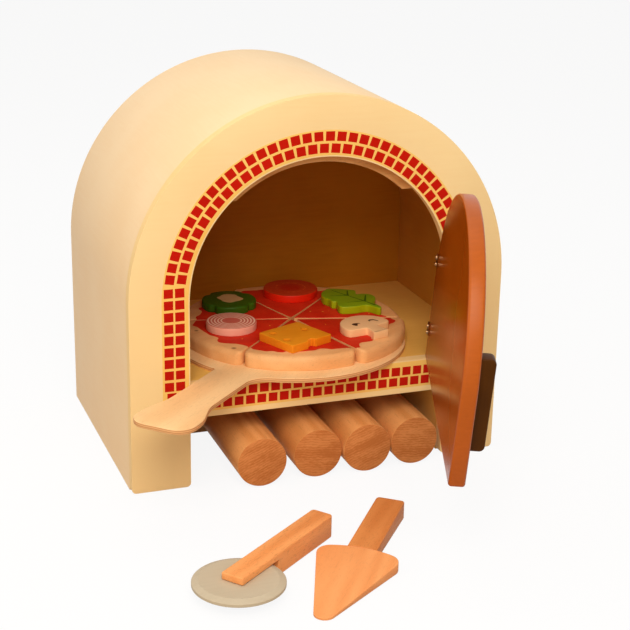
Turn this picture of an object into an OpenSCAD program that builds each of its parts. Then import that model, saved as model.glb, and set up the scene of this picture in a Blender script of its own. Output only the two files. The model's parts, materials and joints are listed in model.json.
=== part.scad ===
// Toy wood-fired oven with a hinged door, four logs, a pizza of six slices on a peel,
// six loose toppings, a pizza cutter and a cake server.
// Millimetres, +Z up, +Y into the oven. The origin is the centre of the oven's footprint.

/* [Oven body] */
// Width of the oven, which is twice the radius of its round top
body_w = 320; // [300:1:400]
// Depth of the oven from its front face to the shell's rear edge
body_d = 223; // [215:1:290]
// Height at which the straight sides turn into the round top
spring_h = 157; // [150:1:200]
// Thickness of the front panel
panel_t = 9; // [8:0.5:12]
// Thickness of the bent shell
shell_t = 5; // [4:0.5:7]
// Thickness of the back panel
back_t = 9; // [6:0.5:12]
// How far the back panel is set in from the shell's rear edge
back_inset = 8; // [4:0.5:14]
// Glue gap left between two boards
glue_gap = 0.1; // [0.05:0.05:0.2]

/* [Opening] */
// Width of the baking opening, which is twice the radius of its arch
opening_w = 222; // [215:1:240]
// Height of the oven floor above the ground
floor_h = 89; // [80:1:100]
// Thickness of the oven floor board
floor_t = 9; // [6:0.5:12]
// Height of the log bay opening under the sill
bay_h = 60; // [50:1:68]

/* [Door stop and inner boards] */
// How far the stop arch stands inside the opening
stop_reveal = 6; // [4:0.5:9]
// Thickness of the stop arch
stop_t = 9; // [6:0.5:12]
// Width of the stop arch's band
stop_band = 22; // [18:1:28]
// Height at which the stop arch's two ends are cut off level
stop_cut_h = 235; // [225:1:240]
// Distance from the front face to the board that stops the logs
log_stop_y = 105; // [100:1:115]
// Thickness of the log stop board
log_stop_t = 9; // [6:0.5:12]
// Thickness of the log bay's two side boards
bay_side_t = 9; // [6:0.5:12]
// Height and width of the battens that carry the floor
cleat = 12; // [10:1:16]

/* [Door] */
// Thickness of the door
door_t = 12.5; // [10:0.5:15]
// Gap between the door's edge and the opening
door_gap = 1.6; // [1.5:0.1:4]
// Gap between the door's lower edge and the oven floor
door_lift = 0.5; // [0.5:0.5:3]
// How far the door stands open at rest, in degrees
door_open = 71; // [60:1:90]
// Sideways lean of the hinge line, in degrees
hinge_lean = 5; // [0:0.5:6]
// Forward lean of the hinge line, in degrees
hinge_rake = 1.5; // [0:0.5:2]

/* [Door handle] */
// Height of the handle block
handle_h = 72.5; // [60:0.5:90]
// Width of the handle block
handle_w = 12; // [10:1:30]
// How far the handle block stands out of the door
handle_proud = 12; // [10:0.5:18]
// Distance from the door's free edge to the handle block
handle_inset = 12.9; // [8:0.1:20]
// Height of the handle block's lower end when the door is shut
handle_z = 113; // [110:1:120]
// Diameter of the dowels that hold the handle
dowel_d = 6; // [5:0.5:8]

/* [Hinges] */
// Height of the lower hinge
hinge_low_h = 116.5; // [110:0.5:120]
// Height of the upper hinge
hinge_high_h = 178; // [165:0.5:179]
// Length of each hinge
hinge_len = 10; // [8:1:12]
// Thickness of a hinge leaf
leaf_t = 0.7; // [0.5:0.1:0.8]
// Least depth to which the panel's leaves are let into the opening's side
leaf_sink = 0.3; // [0.2:0.1:0.6]
// Outer radius of a hinge knuckle
knuckle_r = 2.2; // [2:0.1:2.6]
// Radius of a hinge pin
pin_r = 1; // [0.8:0.1:1.2]
// Height at which the hinge line's place is set
hinge_mid_h = 140; // [135:1:150]
// Distance from the front face forward to the hinge line, at that height
hinge_proud = 7.5; // [7:0.5:9]
// Radius of the hinge screws' shanks
screw_r = 0.9; // [0.7:0.1:1.1]
// Running clearance round pins and screws
run_gap = 0.05; // [0.03:0.01:0.1]

/* [Logs] */
// Diameter of a log
log_d = 42; // [36:1:44]
// Gap between the right-hand log and the side of the log bay
log_side_gap = 9.2; // [5:0.1:12]

/* [Peel] */
// Diameter of the peel's round plate
peel_d = 199; // [190:1:202]
// Thickness of the peel's plywood
peel_t = 4; // [3:0.5:6]
// Length of the handle from the plate's centre to its end
peel_reach = 223; // [200:1:230]
// Width of the handle's neck
peel_neck_w = 36.4; // [28:0.1:40]
// Width of the handle's grip
peel_grip_w = 52; // [44:1:60]
// Direction in which the handle points, in degrees
peel_turn = 224.6; // [222:0.1:228]

/* [Pizza] */
// Radius of the whole pizza
pizza_r = 95; // [88:1:96]
// Thickness of a slice
slice_h = 12; // [10:0.5:14]
// Width of the cut between two slices
slice_cut = 1.5; // [1:0.5:3]
// Size of the crust's rounded upper edge
crust_round = 5; // [3:0.5:6]
// Direction of the first cut, in degrees
pizza_turn = -14; // [-16:1:-12]

/* [Toppings] */
// Thickness of a topping
topping_h = 7; // [5:0.5:8]
// Diameter of the pepper slice
pepper_d = 48; // [40:1:49]
// Diameter of the onion slice
onion_d = 43; // [38:1:44]
// Diameter of the tomato slice
tomato_d = 49; // [40:1:50]
// Length of the cheese slice
cheese_l = 44; // [36:1:45]
// Width of the cheese slice
cheese_w = 42; // [34:1:43]
// Diameter of the mushroom's cap
mushroom_d = 44; // [36:1:45]
// Length of the basil leaf
basil_l = 69; // [56:1:70]

/* [Cutter] */
// Diameter of the cutter's wheel
wheel_d = 67.6; // [60:0.1:70]
// Thickness of the cutter's wheel
wheel_t = 6.2; // [5:0.1:7]
// Width of the wheel's bevelled rim
wheel_bevel = 5.1; // [4:0.1:8]
// Thickness of the wheel's edge, outside the bevels
wheel_edge_t = 2.5; // [1:0.1:4]
// Side of the cutter's square handle
stick_w = 18.5; // [16:0.5:20]
// Length of the cutter's handle
stick_l = 121; // [110:1:125]
// Depth of the slot that holds the wheel
slot_l = 46.5; // [45:0.5:55]
// Clearance over and under the wheel in its slot
slot_gap = 0.3; // [0.2:0.1:0.5]
// Distance from the handle's end to the wheel's pin
wheel_inset = 8.6; // [7:0.1:9]
// Diameter of the wheel's pin
wheel_pin_d = 5; // [4:0.5:6]

/* [Server] */
// Length of the server's blade
blade_l = 97; // [85:1:105]
// Width of the server's blade
blade_w = 62.4; // [54:0.2:66]
// Thickness of the server at its handle's free end, from which it thins evenly to the tip
server_t = 14.2; // [13:0.1:18]
// Thickness of the blade at its tip
tip_t = 1.8; // [1.5:0.1:3]
// Length of the server's handle
server_l = 75.5; // [70:0.5:90]
// Width of the server's handle
server_w = 23; // [18:1:26]

/* [Hidden] */
$fn = 96;

body_r = body_w / 2;
inner_r = body_r - shell_t;
open_r = opening_w / 2;
back_y = body_d - back_inset - back_t;
hinge_zs = [hinge_low_h, hinge_high_h];
over = 1;

// The hinge line, through the point where its place is set
hinge_offset = 0.25;
hinge_mid = [open_r + hinge_offset, -hinge_proud, hinge_mid_h];
hinge_axis = [cos(hinge_rake) * sin(hinge_lean), -sin(hinge_rake), cos(hinge_rake) * cos(hinge_lean)];
function hinge_point(z) = hinge_mid + hinge_axis * (z - hinge_mid[2]) / hinge_axis[2];

// How far an upright arched edge of radius r stands from the middle at height z
function side_at(r, z) = z <= spring_h ? r : sqrt(pow(r, 2) - pow(z - spring_h, 2));

door_r = open_r - door_gap;
door_z = floor_h + door_lift;
door_face = panel_t - door_t;
stop_r = open_r - stop_reveal;

// Each hinge leaf is split along the hinge line into three knuckles
knuckle_gap = 0.2;
door_knuckle = hinge_len / 3;
screw_rise = hinge_len / 3.6;
leaf_len = hinge_len - 0.8;
screw_head_r = 1.6;
screw_head_t = 0.4;
screw_l = 9;
head_rise = 1.1;
head_sink = 0.5;
flange_w = 8;
pin_end = 0.5;
pin_head_gap = 0.1;
pin_head_t = 0.7;
link_ease = 0.4;
leaf_start = 2.6;
link_reach = 6.2;
flange_y = panel_t + run_gap;
dowel_l = 16;

// The gap on the right of each log, and how far its end stands out in front
log_gaps = [7.5, 1.2, 1.5, log_side_gap];
log_outs = [16.9, 13.5, 15.3, 12.8];
log_end_gap = 0.3;
function log_right(i) = i == 3 ? open_r - log_gaps[i] : log_right(i + 1) - log_d - log_gaps[i];

peel_at = [-1.6, 74.2, floor_h];
neck_shift = -1.2;
pizza_at = [4, 87, floor_h + peel_t];
topping_z = floor_h + peel_t + slice_h;
// How much further each slice has been drawn outwards, beyond the width of a cut
slice_out = [0, 0, 0, 0, 0, 2.5];
grip_corner = 15;
flare_l = 40;

basil_at = [65.2, 104.3];
basil_turn = 22;
tomato_at = [24.5, 149];
pepper_at = [-38.5, 133];
pepper_turn = 37;
notch_r = 2.6;
onion_at = [-53.5, 77];
cheese_at = [-12.2, 30.4];
cheese_turn = 23;
bite_r = 4;
mushroom_at = [53.4, 37.2];
mushroom_turn = 18;

stick_at = [-132.9, -185.1, 0];
stick_turn = 38;
pin_cap = 1.5;
server_at = [24.4, -97.5, 0];
server_turn = 231.3;
server_dowel_d = 4;
server_dowel_l = 24;
tip_r = 7.8;
shoulder_r = 10.4;
back_r = 79.4;

module at_front() {
    translate([0, -body_d / 2, 0]) children();
}

// A round-topped outline of half-width r, cut off level at the height z0
module arch(r, z0) {
    intersection() {
        translate([0, spring_h]) circle(r);
        translate([-2 * r, spring_h - over]) square([4 * r, 2 * r]);
    }
    translate([-r, z0]) square([2 * r, spring_h - z0]);
}

// Stands a flat outline up in the XZ plane, from y0 to y0 + t
module upright(y0, t) {
    translate([0, y0 + t, 0]) rotate([90, 0, 0]) linear_extrude(t) children();
}

module front_panel() {
    color("moccasin") at_front() difference() {
        upright(0, panel_t) difference() {
            arch(body_r, 0);
            arch(open_r, floor_h);
            translate([-open_r, -over]) square([opening_w, bay_h + over]);
        }
        hinge_mortises();
        hinge_screw_holes(screw_r + run_gap);
    }
}

module shell() {
    color("moccasin") at_front() upright(panel_t + glue_gap, body_d - panel_t - glue_gap) difference() {
        arch(body_r, 0);
        arch(inner_r, -over);
    }
}

module back_panel() {
    color("wheat") at_front() upright(back_y, back_t) arch(inner_r - glue_gap, 0);
}

module oven_floor() {
    length = back_y - panel_t - 2 * glue_gap;
    color("moccasin") at_front()
        translate([-inner_r + glue_gap, panel_t + glue_gap, floor_h - floor_t])
            cube([2 * (inner_r - glue_gap), length, floor_t]);
}

module log_stop() {
    color("burlywood") at_front() translate([-inner_r + glue_gap, log_stop_y, 0])
        cube([2 * (inner_r - glue_gap), log_stop_t, floor_h - floor_t - glue_gap]);
}

// The side boards of the log bay, flush with the legs of the front panel
module bay_sides() {
    length = log_stop_y - panel_t - 2 * glue_gap;
    color("moccasin") at_front() for (side = [0, 1]) mirror([side, 0, 0])
        translate([open_r, panel_t + glue_gap, 0])
            cube([bay_side_t, length, floor_h - floor_t - glue_gap]);
}

module stop_arch() {
    color("burlywood") at_front() upright(panel_t + glue_gap, stop_t) difference() {
        translate([0, spring_h]) circle(stop_r + stop_band);
        translate([0, spring_h]) circle(stop_r);
        translate([-body_r, 0]) square([body_w, stop_cut_h]);
    }
}

module floor_cleats() {
    front_len = log_stop_y - panel_t - 4 * glue_gap;
    rear_y = log_stop_y + log_stop_t + glue_gap;
    rear_len = back_y - rear_y - glue_gap;
    spans = [[panel_t + 2 * glue_gap, front_len], [rear_y, rear_len]];
    color("burlywood") at_front() for (side = [0, 1], span = spans)
        mirror([side, 0, 0])
            translate([inner_r - glue_gap - cleat, span[0], floor_h - floor_t - glue_gap - cleat])
                cube([cleat, span[1], cleat]);
}

// Draws along the hinge line, at the height z of a hinge
module along_hinge(z) {
    translate(hinge_point(z)) rotate([hinge_rake, hinge_lean, 0]) children();
}

module hinge_rod(r, z0, z1) {
    translate([0, 0, z0]) cylinder(r = r, h = z1 - z0);
}

// Screws of the panel's leaves go into the opening's side, in the X direction
module hinge_screw_holes(r) {
    for (z = hinge_zs, rise = [-screw_rise, screw_rise])
        translate([panel_leaf_x(z) - over, panel_t / 2, z + rise]) rotate([0, 90, 0])
            cylinder(r = r, h = screw_l + over + glue_gap);
}

// The panel's leaves lie upright in recesses of the opening's side, the door's leaves on its edge
function mortise_x(z) = side_at(open_r, z - hinge_len / 2) + leaf_sink;
function panel_leaf_x(z) = mortise_x(z) - run_gap - leaf_t;
function door_leaf_x(z) = side_at(door_r, z - hinge_len / 2) + run_gap;

module hinge_mortises() {
    for (z = hinge_zs) {
        start = side_at(open_r, z + hinge_len / 2) - over;
        translate([start, -over, z - hinge_len / 2])
            cube([mortise_x(z) - start, panel_t + 2 * over, hinge_len]);
    }
}

module hinge_panel_leaves() {
    color("silver") at_front() for (z = hinge_zs) difference() {
        union() {
            translate([panel_leaf_x(z), hinge_point(z)[1], z - leaf_len / 2])
                cube([leaf_t, panel_t - hinge_point(z)[1] - over, leaf_len]);
            for (end = [-1, 1]) {
                near = door_knuckle / 2 + knuckle_gap;
                rise = end * (near + hinge_len / 2) / 2;
                span = hinge_len / 2 - near;
                along_hinge(z) hinge_rod(knuckle_r, rise - span / 2, rise + span / 2);
                translate([min(panel_leaf_x(z), hinge_point(z)[0]), hinge_point(z)[1] - leaf_t,
                           z + rise - span / 2 + link_ease])
                    cube([abs(hinge_point(z)[0] - panel_leaf_x(z)) + leaf_t / 2, 2 * leaf_t,
                          span - 2 * link_ease]);
            }
        }
        along_hinge(z) {
            hinge_rod(pin_r + run_gap, -hinge_len, hinge_len);
            hinge_rod(link_reach, -door_knuckle / 2 - knuckle_gap, door_knuckle / 2 + knuckle_gap);
        }
        for (rise = [-screw_rise, screw_rise])
            translate([panel_leaf_x(z) - over, panel_t / 2, z + rise]) rotate([0, 90, 0]) {
                cylinder(r = screw_r + run_gap, h = leaf_t + 2 * over);
                cylinder(r = screw_head_r + run_gap, h = screw_head_t + over);
            }
    }
}

module hinge_pins() {
    half = hinge_len / 2;
    head = half + pin_head_gap;
    color("gray") at_front() for (z = hinge_zs) along_hinge(z) {
        hinge_rod(pin_r, -half - pin_end, half + pin_end);
        hinge_rod(knuckle_r, head, head + pin_head_t);
        hinge_rod(knuckle_r, -head - pin_head_t, -head);
    }
}

module hinge_panel_screws() {
    color("gray") at_front() for (z = hinge_zs, rise = [-screw_rise, screw_rise])
        translate([panel_leaf_x(z), panel_t / 2, z + rise]) rotate([0, 90, 0]) {
            cylinder(r = screw_head_r, h = screw_head_t - run_gap);
            cylinder(r = screw_r, h = screw_l);
        }
}

// Swings what is drawn for the shut door to where the door stands at rest
module on_door() {
    at_front() translate(hinge_mid) rotate(a = door_open, v = hinge_axis) translate(-hinge_mid) children();
}

// Screws of the door's leaves go into the door's inner face, towards the front
module door_screw_places() {
    for (z = hinge_zs, rise = [-screw_rise, screw_rise])
        translate([door_leaf_x(z) - flange_w / 2, flange_y + leaf_t, z + rise]) rotate([90, 0, 0]) children();
}

module door_panel() {
    color("sienna") on_door() difference() {
        upright(door_face, door_t) arch(door_r, door_z);
        door_screw_places() cylinder(r = screw_r + run_gap, h = screw_l);
        handle_dowel_places() cylinder(d = dowel_d, h = dowel_l + 2 * glue_gap, center = true);
    }
}

module handle_dowel_places() {
    for (step = [0.25, 0.75])
        translate([-door_r + handle_inset + handle_w / 2, door_face, handle_z + handle_h * step])
            rotate([90, 0, 0]) children();
}

module door_handle() {
    color("saddlebrown") on_door() difference() {
        translate([-door_r + handle_inset, door_face - handle_proud - glue_gap, handle_z])
            cube([handle_w, handle_proud, handle_h]);
        handle_dowel_places() cylinder(d = dowel_d, h = dowel_l + 2 * glue_gap, center = true);
    }
}

module handle_dowels() {
    color("burlywood") on_door() handle_dowel_places()
        cylinder(d = dowel_d - 2 * run_gap, h = dowel_l, center = true);
}

module hinge_door_leaves() {
    color("silver") on_door() for (z = hinge_zs) difference() {
        union() {
            leaf_y = hinge_point(z)[1] + leaf_start;
            translate([door_leaf_x(z), leaf_y, z - leaf_len / 2])
                cube([leaf_t, flange_y + leaf_t - leaf_y, leaf_len]);
            translate([door_leaf_x(z) - flange_w, flange_y, z - leaf_len / 2])
                cube([flange_w + leaf_t, leaf_t, leaf_len]);
            along_hinge(z) hinge_rod(knuckle_r, -door_knuckle / 2, door_knuckle / 2);
            translate([0, 0, z - door_knuckle / 2 + link_ease]) linear_extrude(door_knuckle - 2 * link_ease)
                polygon([[hinge_point(z)[0] - leaf_t, hinge_point(z)[1]],
                         [hinge_point(z)[0] + leaf_t, hinge_point(z)[1]],
                         [door_leaf_x(z) + leaf_t, leaf_y + leaf_t], [door_leaf_x(z), leaf_y + leaf_t]]);
        }
        along_hinge(z) hinge_rod(pin_r + run_gap, -hinge_len, hinge_len);
        door_screw_places() translate([0, 0, -over]) cylinder(r = screw_r + run_gap, h = screw_l);
    }
}

// Round-headed screws, their heads standing on the leaves
module hinge_door_screws() {
    color("gray") on_door() door_screw_places() {
        translate([0, 0, -head_sink]) cylinder(r = screw_r, h = screw_l - head_sink);
        translate([0, 0, -head_rise - run_gap]) cylinder(r = screw_r * 2, h = head_rise);
    }
}

// A log lies along Y, from in front of the oven to the board that stops it
module log(i) {
    color("peru") at_front()
        translate([log_right(i) - log_d / 2, log_stop_y - log_end_gap, log_d / 2]) rotate([90, 0, 0])
            cylinder(d = log_d, h = log_stop_y - log_end_gap + log_outs[i]);
}
module log_1() { log(0); }
module log_2() { log(1); }
module log_3() { log(2); }
module log_4() { log(3); }

// The round plate, a straight neck, a flare and a grip with two rounded corners
module peel() {
    grip_x = peel_reach - grip_corner;
    flare_x = grip_x - flare_l;
    color("bisque") at_front() translate(peel_at) linear_extrude(peel_t) {
        circle(d = peel_d);
        rotate(peel_turn) {
            translate([peel_d / 4, neck_shift - peel_neck_w / 2])
                square([flare_x - peel_d / 4 + over, peel_neck_w]);
            polygon([[flare_x, neck_shift - peel_neck_w / 2], [grip_x, -peel_grip_w / 2],
                     [grip_x, peel_grip_w / 2], [flare_x, neck_shift + peel_neck_w / 2]]);
            for (side = [-1, 1])
                translate([grip_x, side * (peel_grip_w / 2 - grip_corner)]) circle(grip_corner);
            translate([grip_x - over, grip_corner - peel_grip_w / 2])
                square([grip_corner + over, peel_grip_w - 2 * grip_corner]);
        }
    }
}

// One slice: a wedge whose crust edge is bevelled, moved out along its own middle line
module slice(i) {
    middle = pizza_turn + 60 * i + 30;
    out = slice_cut + slice_out[i];
    color("tan") at_front()
        translate(pizza_at + out * [cos(middle), sin(middle), 0])
            rotate(middle - 30) rotate_extrude(angle = 60)
                polygon([[0, 0], [pizza_r, 0], [pizza_r, slice_h - crust_round],
                         [pizza_r - crust_round * 0.3, slice_h - crust_round * 0.3],
                         [pizza_r - crust_round, slice_h], [0, slice_h]]);
}
module slice_1() { slice(1); }
module slice_2() { slice(2); }
module slice_3() { slice(3); }
module slice_4() { slice(4); }
module slice_5() { slice(5); }
module slice_6() { slice(0); }

// Puts a flat outline on the pizza as a loose topping
module topping(at, turn) {
    at_front() translate([at[0], at[1], topping_z]) rotate(turn) linear_extrude(topping_h) children();
}

// A leaf with five rounded lobes and a short stalk
module topping_basil() {
    u = basil_l / 69;
    color("yellowgreen") topping(basil_at, basil_turn) {
        translate([1 * u, 22 * u]) circle(10.5 * u);
        translate([-7 * u, 12 * u]) circle(10 * u);
        translate([9 * u, 14 * u]) circle(10 * u);
        translate([0, 2 * u]) circle(14 * u);
        translate([-11.5 * u, -10.5 * u]) circle(10 * u);
        translate([12.5 * u, -6 * u]) circle(10 * u);
        translate([0, -13 * u]) circle(10 * u);
        polygon([[-1 * u, -18 * u], [1.5 * u, -36 * u], [5 * u, -34 * u], [7 * u, -16 * u]]);
    }
}

module topping_tomato() {
    color("red") topping(tomato_at, 0) circle(d = tomato_d);
}

module topping_pepper() {
    color("darkgreen") topping(pepper_at, pepper_turn) difference() {
        circle(d = pepper_d);
        for (turn = [0:90:270]) rotate(turn) translate([pepper_d / 2, 0]) circle(notch_r);
    }
}

module topping_onion() {
    color("pink") topping(onion_at, 0) circle(d = onion_d);
}

module topping_cheese() {
    color("orange") topping(cheese_at, cheese_turn) difference() {
        square([cheese_l, cheese_w], center = true);
        translate([0, -cheese_w / 2]) circle(bite_r);
    }
}

// A cap with a level lower edge and a slanting stalk
module topping_mushroom() {
    r = mushroom_d / 2;
    color("antiquewhite") topping(mushroom_at, mushroom_turn) {
        difference() {
            circle(r);
            translate([-2 * r, -2.35 * r]) square([4 * r, 2 * r]);
        }
        polygon([[-0.27 * r, -0.3 * r], [-0.4 * r, -r], [0.3 * r, -r], [0.25 * r, -0.3 * r]]);
    }
}

// Draws in the cutter's own place, with X along the handle from its slotted end
module on_cutter() {
    at_front() translate(stick_at) rotate(stick_turn) children();
}

module cutter_handle() {
    slot_h = wheel_t + 2 * slot_gap;
    color("sandybrown") on_cutter() difference() {
        translate([0, -stick_w / 2, 0]) cube([stick_l, stick_w, stick_w]);
        translate([-over, -stick_w, (stick_w - slot_h) / 2]) cube([slot_l + over, 2 * stick_w, slot_h]);
        translate([wheel_inset, 0, -over]) cylinder(d = wheel_pin_d, h = stick_w - pin_cap + over);
    }
}

module cutter_pin() {
    color("burlywood") on_cutter() translate([wheel_inset, 0, 0])
        cylinder(d = wheel_pin_d - 2 * run_gap, h = stick_w - pin_cap - glue_gap);
}

module cutter_wheel() {
    r = wheel_d / 2;
    flat = r - wheel_bevel;
    bore_r = wheel_pin_d / 2;
    edge_z = (wheel_t - wheel_edge_t) / 2;
    color("gray") on_cutter() translate([wheel_inset, 0, (stick_w - wheel_t) / 2])
        rotate_extrude() polygon([[bore_r, 0], [flat, 0], [r, edge_z], [r, wheel_t - edge_z],
                                  [flat, wheel_t], [bore_r, wheel_t]]);
}

// Draws in the server's own place, with X along it from the handle's free end
module on_server() {
    at_front() translate(server_at) rotate(server_turn) children();
}

// Where a line that touches two circles from outside leaves the first: its direction, in degrees
function touch_turn(from, to, r1, r2) =
    atan2(to[1] - from[1], to[0] - from[0]) + acos((r1 - r2) / norm(to - from));

shoulder_y = blade_w / 2 - shoulder_r;
shoulder_x = server_l + back_r - sqrt(pow(back_r - shoulder_r, 2) - pow(shoulder_y, 2));
tip_x = server_l + blade_l - tip_r;
back_turn = atan2(shoulder_y, shoulder_x - server_l - back_r);

// The blade's outline from above: a rounded back, two shoulders and a rounded tip
module blade_outline() {
    side_turn = touch_turn([shoulder_x, shoulder_y], [tip_x, 0], shoulder_r, tip_r);
    side = [cos(side_turn), sin(side_turn)];
    back = [server_l + back_r + back_r * cos(back_turn), back_r * sin(back_turn)];
    for (end = [-1, 1]) translate([shoulder_x, end * shoulder_y]) circle(shoulder_r);
    translate([tip_x, 0]) circle(tip_r);
    polygon([[back[0], -back[1]], [shoulder_x + shoulder_r * side[0], -shoulder_y - shoulder_r * side[1]],
             [tip_x + tip_r * side[0], -tip_r * side[1]], [tip_x + tip_r * side[0], tip_r * side[1]],
             [shoulder_x + shoulder_r * side[0], shoulder_y + shoulder_r * side[1]], [back[0], back[1]]]);
    intersection() {
        translate([server_l + back_r, 0]) circle(back_r);
        translate([server_l - over, -back[1]]) square([back[0] - server_l + 2 * over, 2 * back[1]]);
    }
}

// The server's height at the distance x from its handle's free end
function server_top(x) = server_t - (server_t - tip_t) * x / (server_l + blade_l);

// What lies over the server's sloping top
module server_slope() {
    length = server_l + blade_l;
    translate([0, -blade_w, server_t]) rotate([0, atan((server_t - tip_t) / length), 0])
        translate([-over, 0, 0]) cube([length + 2 * over, 2 * blade_w, server_t]);
}

// The dowel lies half-way up the blade, at the dowel's far end
module server_dowel_place(d, l) {
    translate([server_l - l / 2, 0, server_top(server_l + server_dowel_l / 2) / 2]) rotate([0, 90, 0])
        cylinder(d = d, h = l);
}

module server_blade() {
    color("sandybrown") on_server() difference() {
        linear_extrude(server_t) blade_outline();
        server_slope();
        server_dowel_place(server_dowel_d, server_dowel_l + 2 * glue_gap);
    }
}

// The handle's end is hollowed to fit the blade's rounded back
module server_handle() {
    color("sandybrown") on_server() difference() {
        translate([0, -server_w / 2, 0]) cube([server_l + over, server_w, server_t]);
        translate([server_l + back_r, 0, -over]) cylinder(r = back_r + glue_gap, h = 2 * server_t);
        server_slope();
        server_dowel_place(server_dowel_d, server_dowel_l + 2 * glue_gap);
    }
}

module server_dowel() {
    color("burlywood") on_server() server_dowel_place(server_dowel_d - 2 * run_gap, server_dowel_l);
}

front_panel();
shell();
back_panel();
oven_floor();
log_stop();
bay_sides();
stop_arch();
floor_cleats();
hinge_panel_leaves();
hinge_pins();
hinge_panel_screws();
door_panel();
door_handle();
handle_dowels();
hinge_door_leaves();
hinge_door_screws();
log_1();
log_2();
log_3();
log_4();
peel();
slice_1();
slice_2();
slice_3();
slice_4();
slice_5();
slice_6();
topping_basil();
topping_tomato();
topping_pepper();
topping_onion();
topping_cheese();
topping_mushroom();
cutter_handle();
cutter_pin();
cutter_wheel();
server_blade();
server_handle();
server_dowel();
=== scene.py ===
"""Looks of the wooden toy oven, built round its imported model."""

import json
import logging
import math
from dataclasses import dataclass, field
from enum import Enum
from typing import Callable, Sequence, Union

import bmesh
import bpy
from mathutils import Matrix, Vector


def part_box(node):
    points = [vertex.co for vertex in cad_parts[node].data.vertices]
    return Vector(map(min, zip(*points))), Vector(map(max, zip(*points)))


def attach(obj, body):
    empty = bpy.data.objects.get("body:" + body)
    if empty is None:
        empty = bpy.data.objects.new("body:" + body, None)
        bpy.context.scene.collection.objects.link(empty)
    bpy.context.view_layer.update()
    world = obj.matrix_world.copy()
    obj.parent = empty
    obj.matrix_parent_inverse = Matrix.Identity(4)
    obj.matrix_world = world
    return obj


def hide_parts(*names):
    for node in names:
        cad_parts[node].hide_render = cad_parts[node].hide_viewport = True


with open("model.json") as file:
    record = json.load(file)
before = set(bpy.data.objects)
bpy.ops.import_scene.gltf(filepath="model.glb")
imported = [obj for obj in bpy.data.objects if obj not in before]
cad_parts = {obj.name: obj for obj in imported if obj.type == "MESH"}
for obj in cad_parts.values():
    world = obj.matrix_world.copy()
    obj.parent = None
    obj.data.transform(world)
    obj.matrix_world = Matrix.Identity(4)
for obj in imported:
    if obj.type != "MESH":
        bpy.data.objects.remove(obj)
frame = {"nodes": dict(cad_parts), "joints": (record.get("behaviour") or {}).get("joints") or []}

LOG = logging.getLogger("toy_oven")
MM = 0.001
WAVE = 0.314  # a Wave texture's bands are this far apart at a scale of 1
ROLL = 35.0  # growth bands lean by this angle, so that they show on top and side faces alike
ROUND = 96  # stretches of a large arc or a full turn
HAIR = 0.05  # keeps two pieces' faces from lying in one plane, in millimetres
Point = tuple[float, float]
Triple = tuple[float, float, float]
Outline = list[Point]
Mesh = bmesh.types.BMesh
Socket = bpy.types.NodeSocket
Value = Union[float, Sequence[float], Socket]
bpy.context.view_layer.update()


class Grain(Enum):
    """Which way a piece's grain runs, as turns in degrees that bring it to the X axis."""

    ACROSS = (0, 0, 0)
    DEEP = (0, 0, 90)
    UPRIGHT = (0, 90, 0)


class Cut(Enum):
    """How a board was sawn, which sets the growth pattern on its faces."""

    QUARTER = "BANDS"
    PLAIN = "RINGS"


def srgb(colour: Sequence[float], fade: float = 1.0) -> tuple[float, float, float, float]:
    """Turns a colour read off a screen into Blender's linear colour.

    Args:
        colour: Red, green and blue, 0 to 255.
        fade: A factor on all three.

    Returns:
        The linear colour with an alpha of 1.
    """
    linear = []
    for channel in colour:
        share = channel * fade / 255
        linear.append(share / 12.92 if share <= 0.04045 else ((share + 0.055) / 1.055) ** 2.4)
    return linear[0], linear[1], linear[2], 1.0


# The node graph helper

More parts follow.
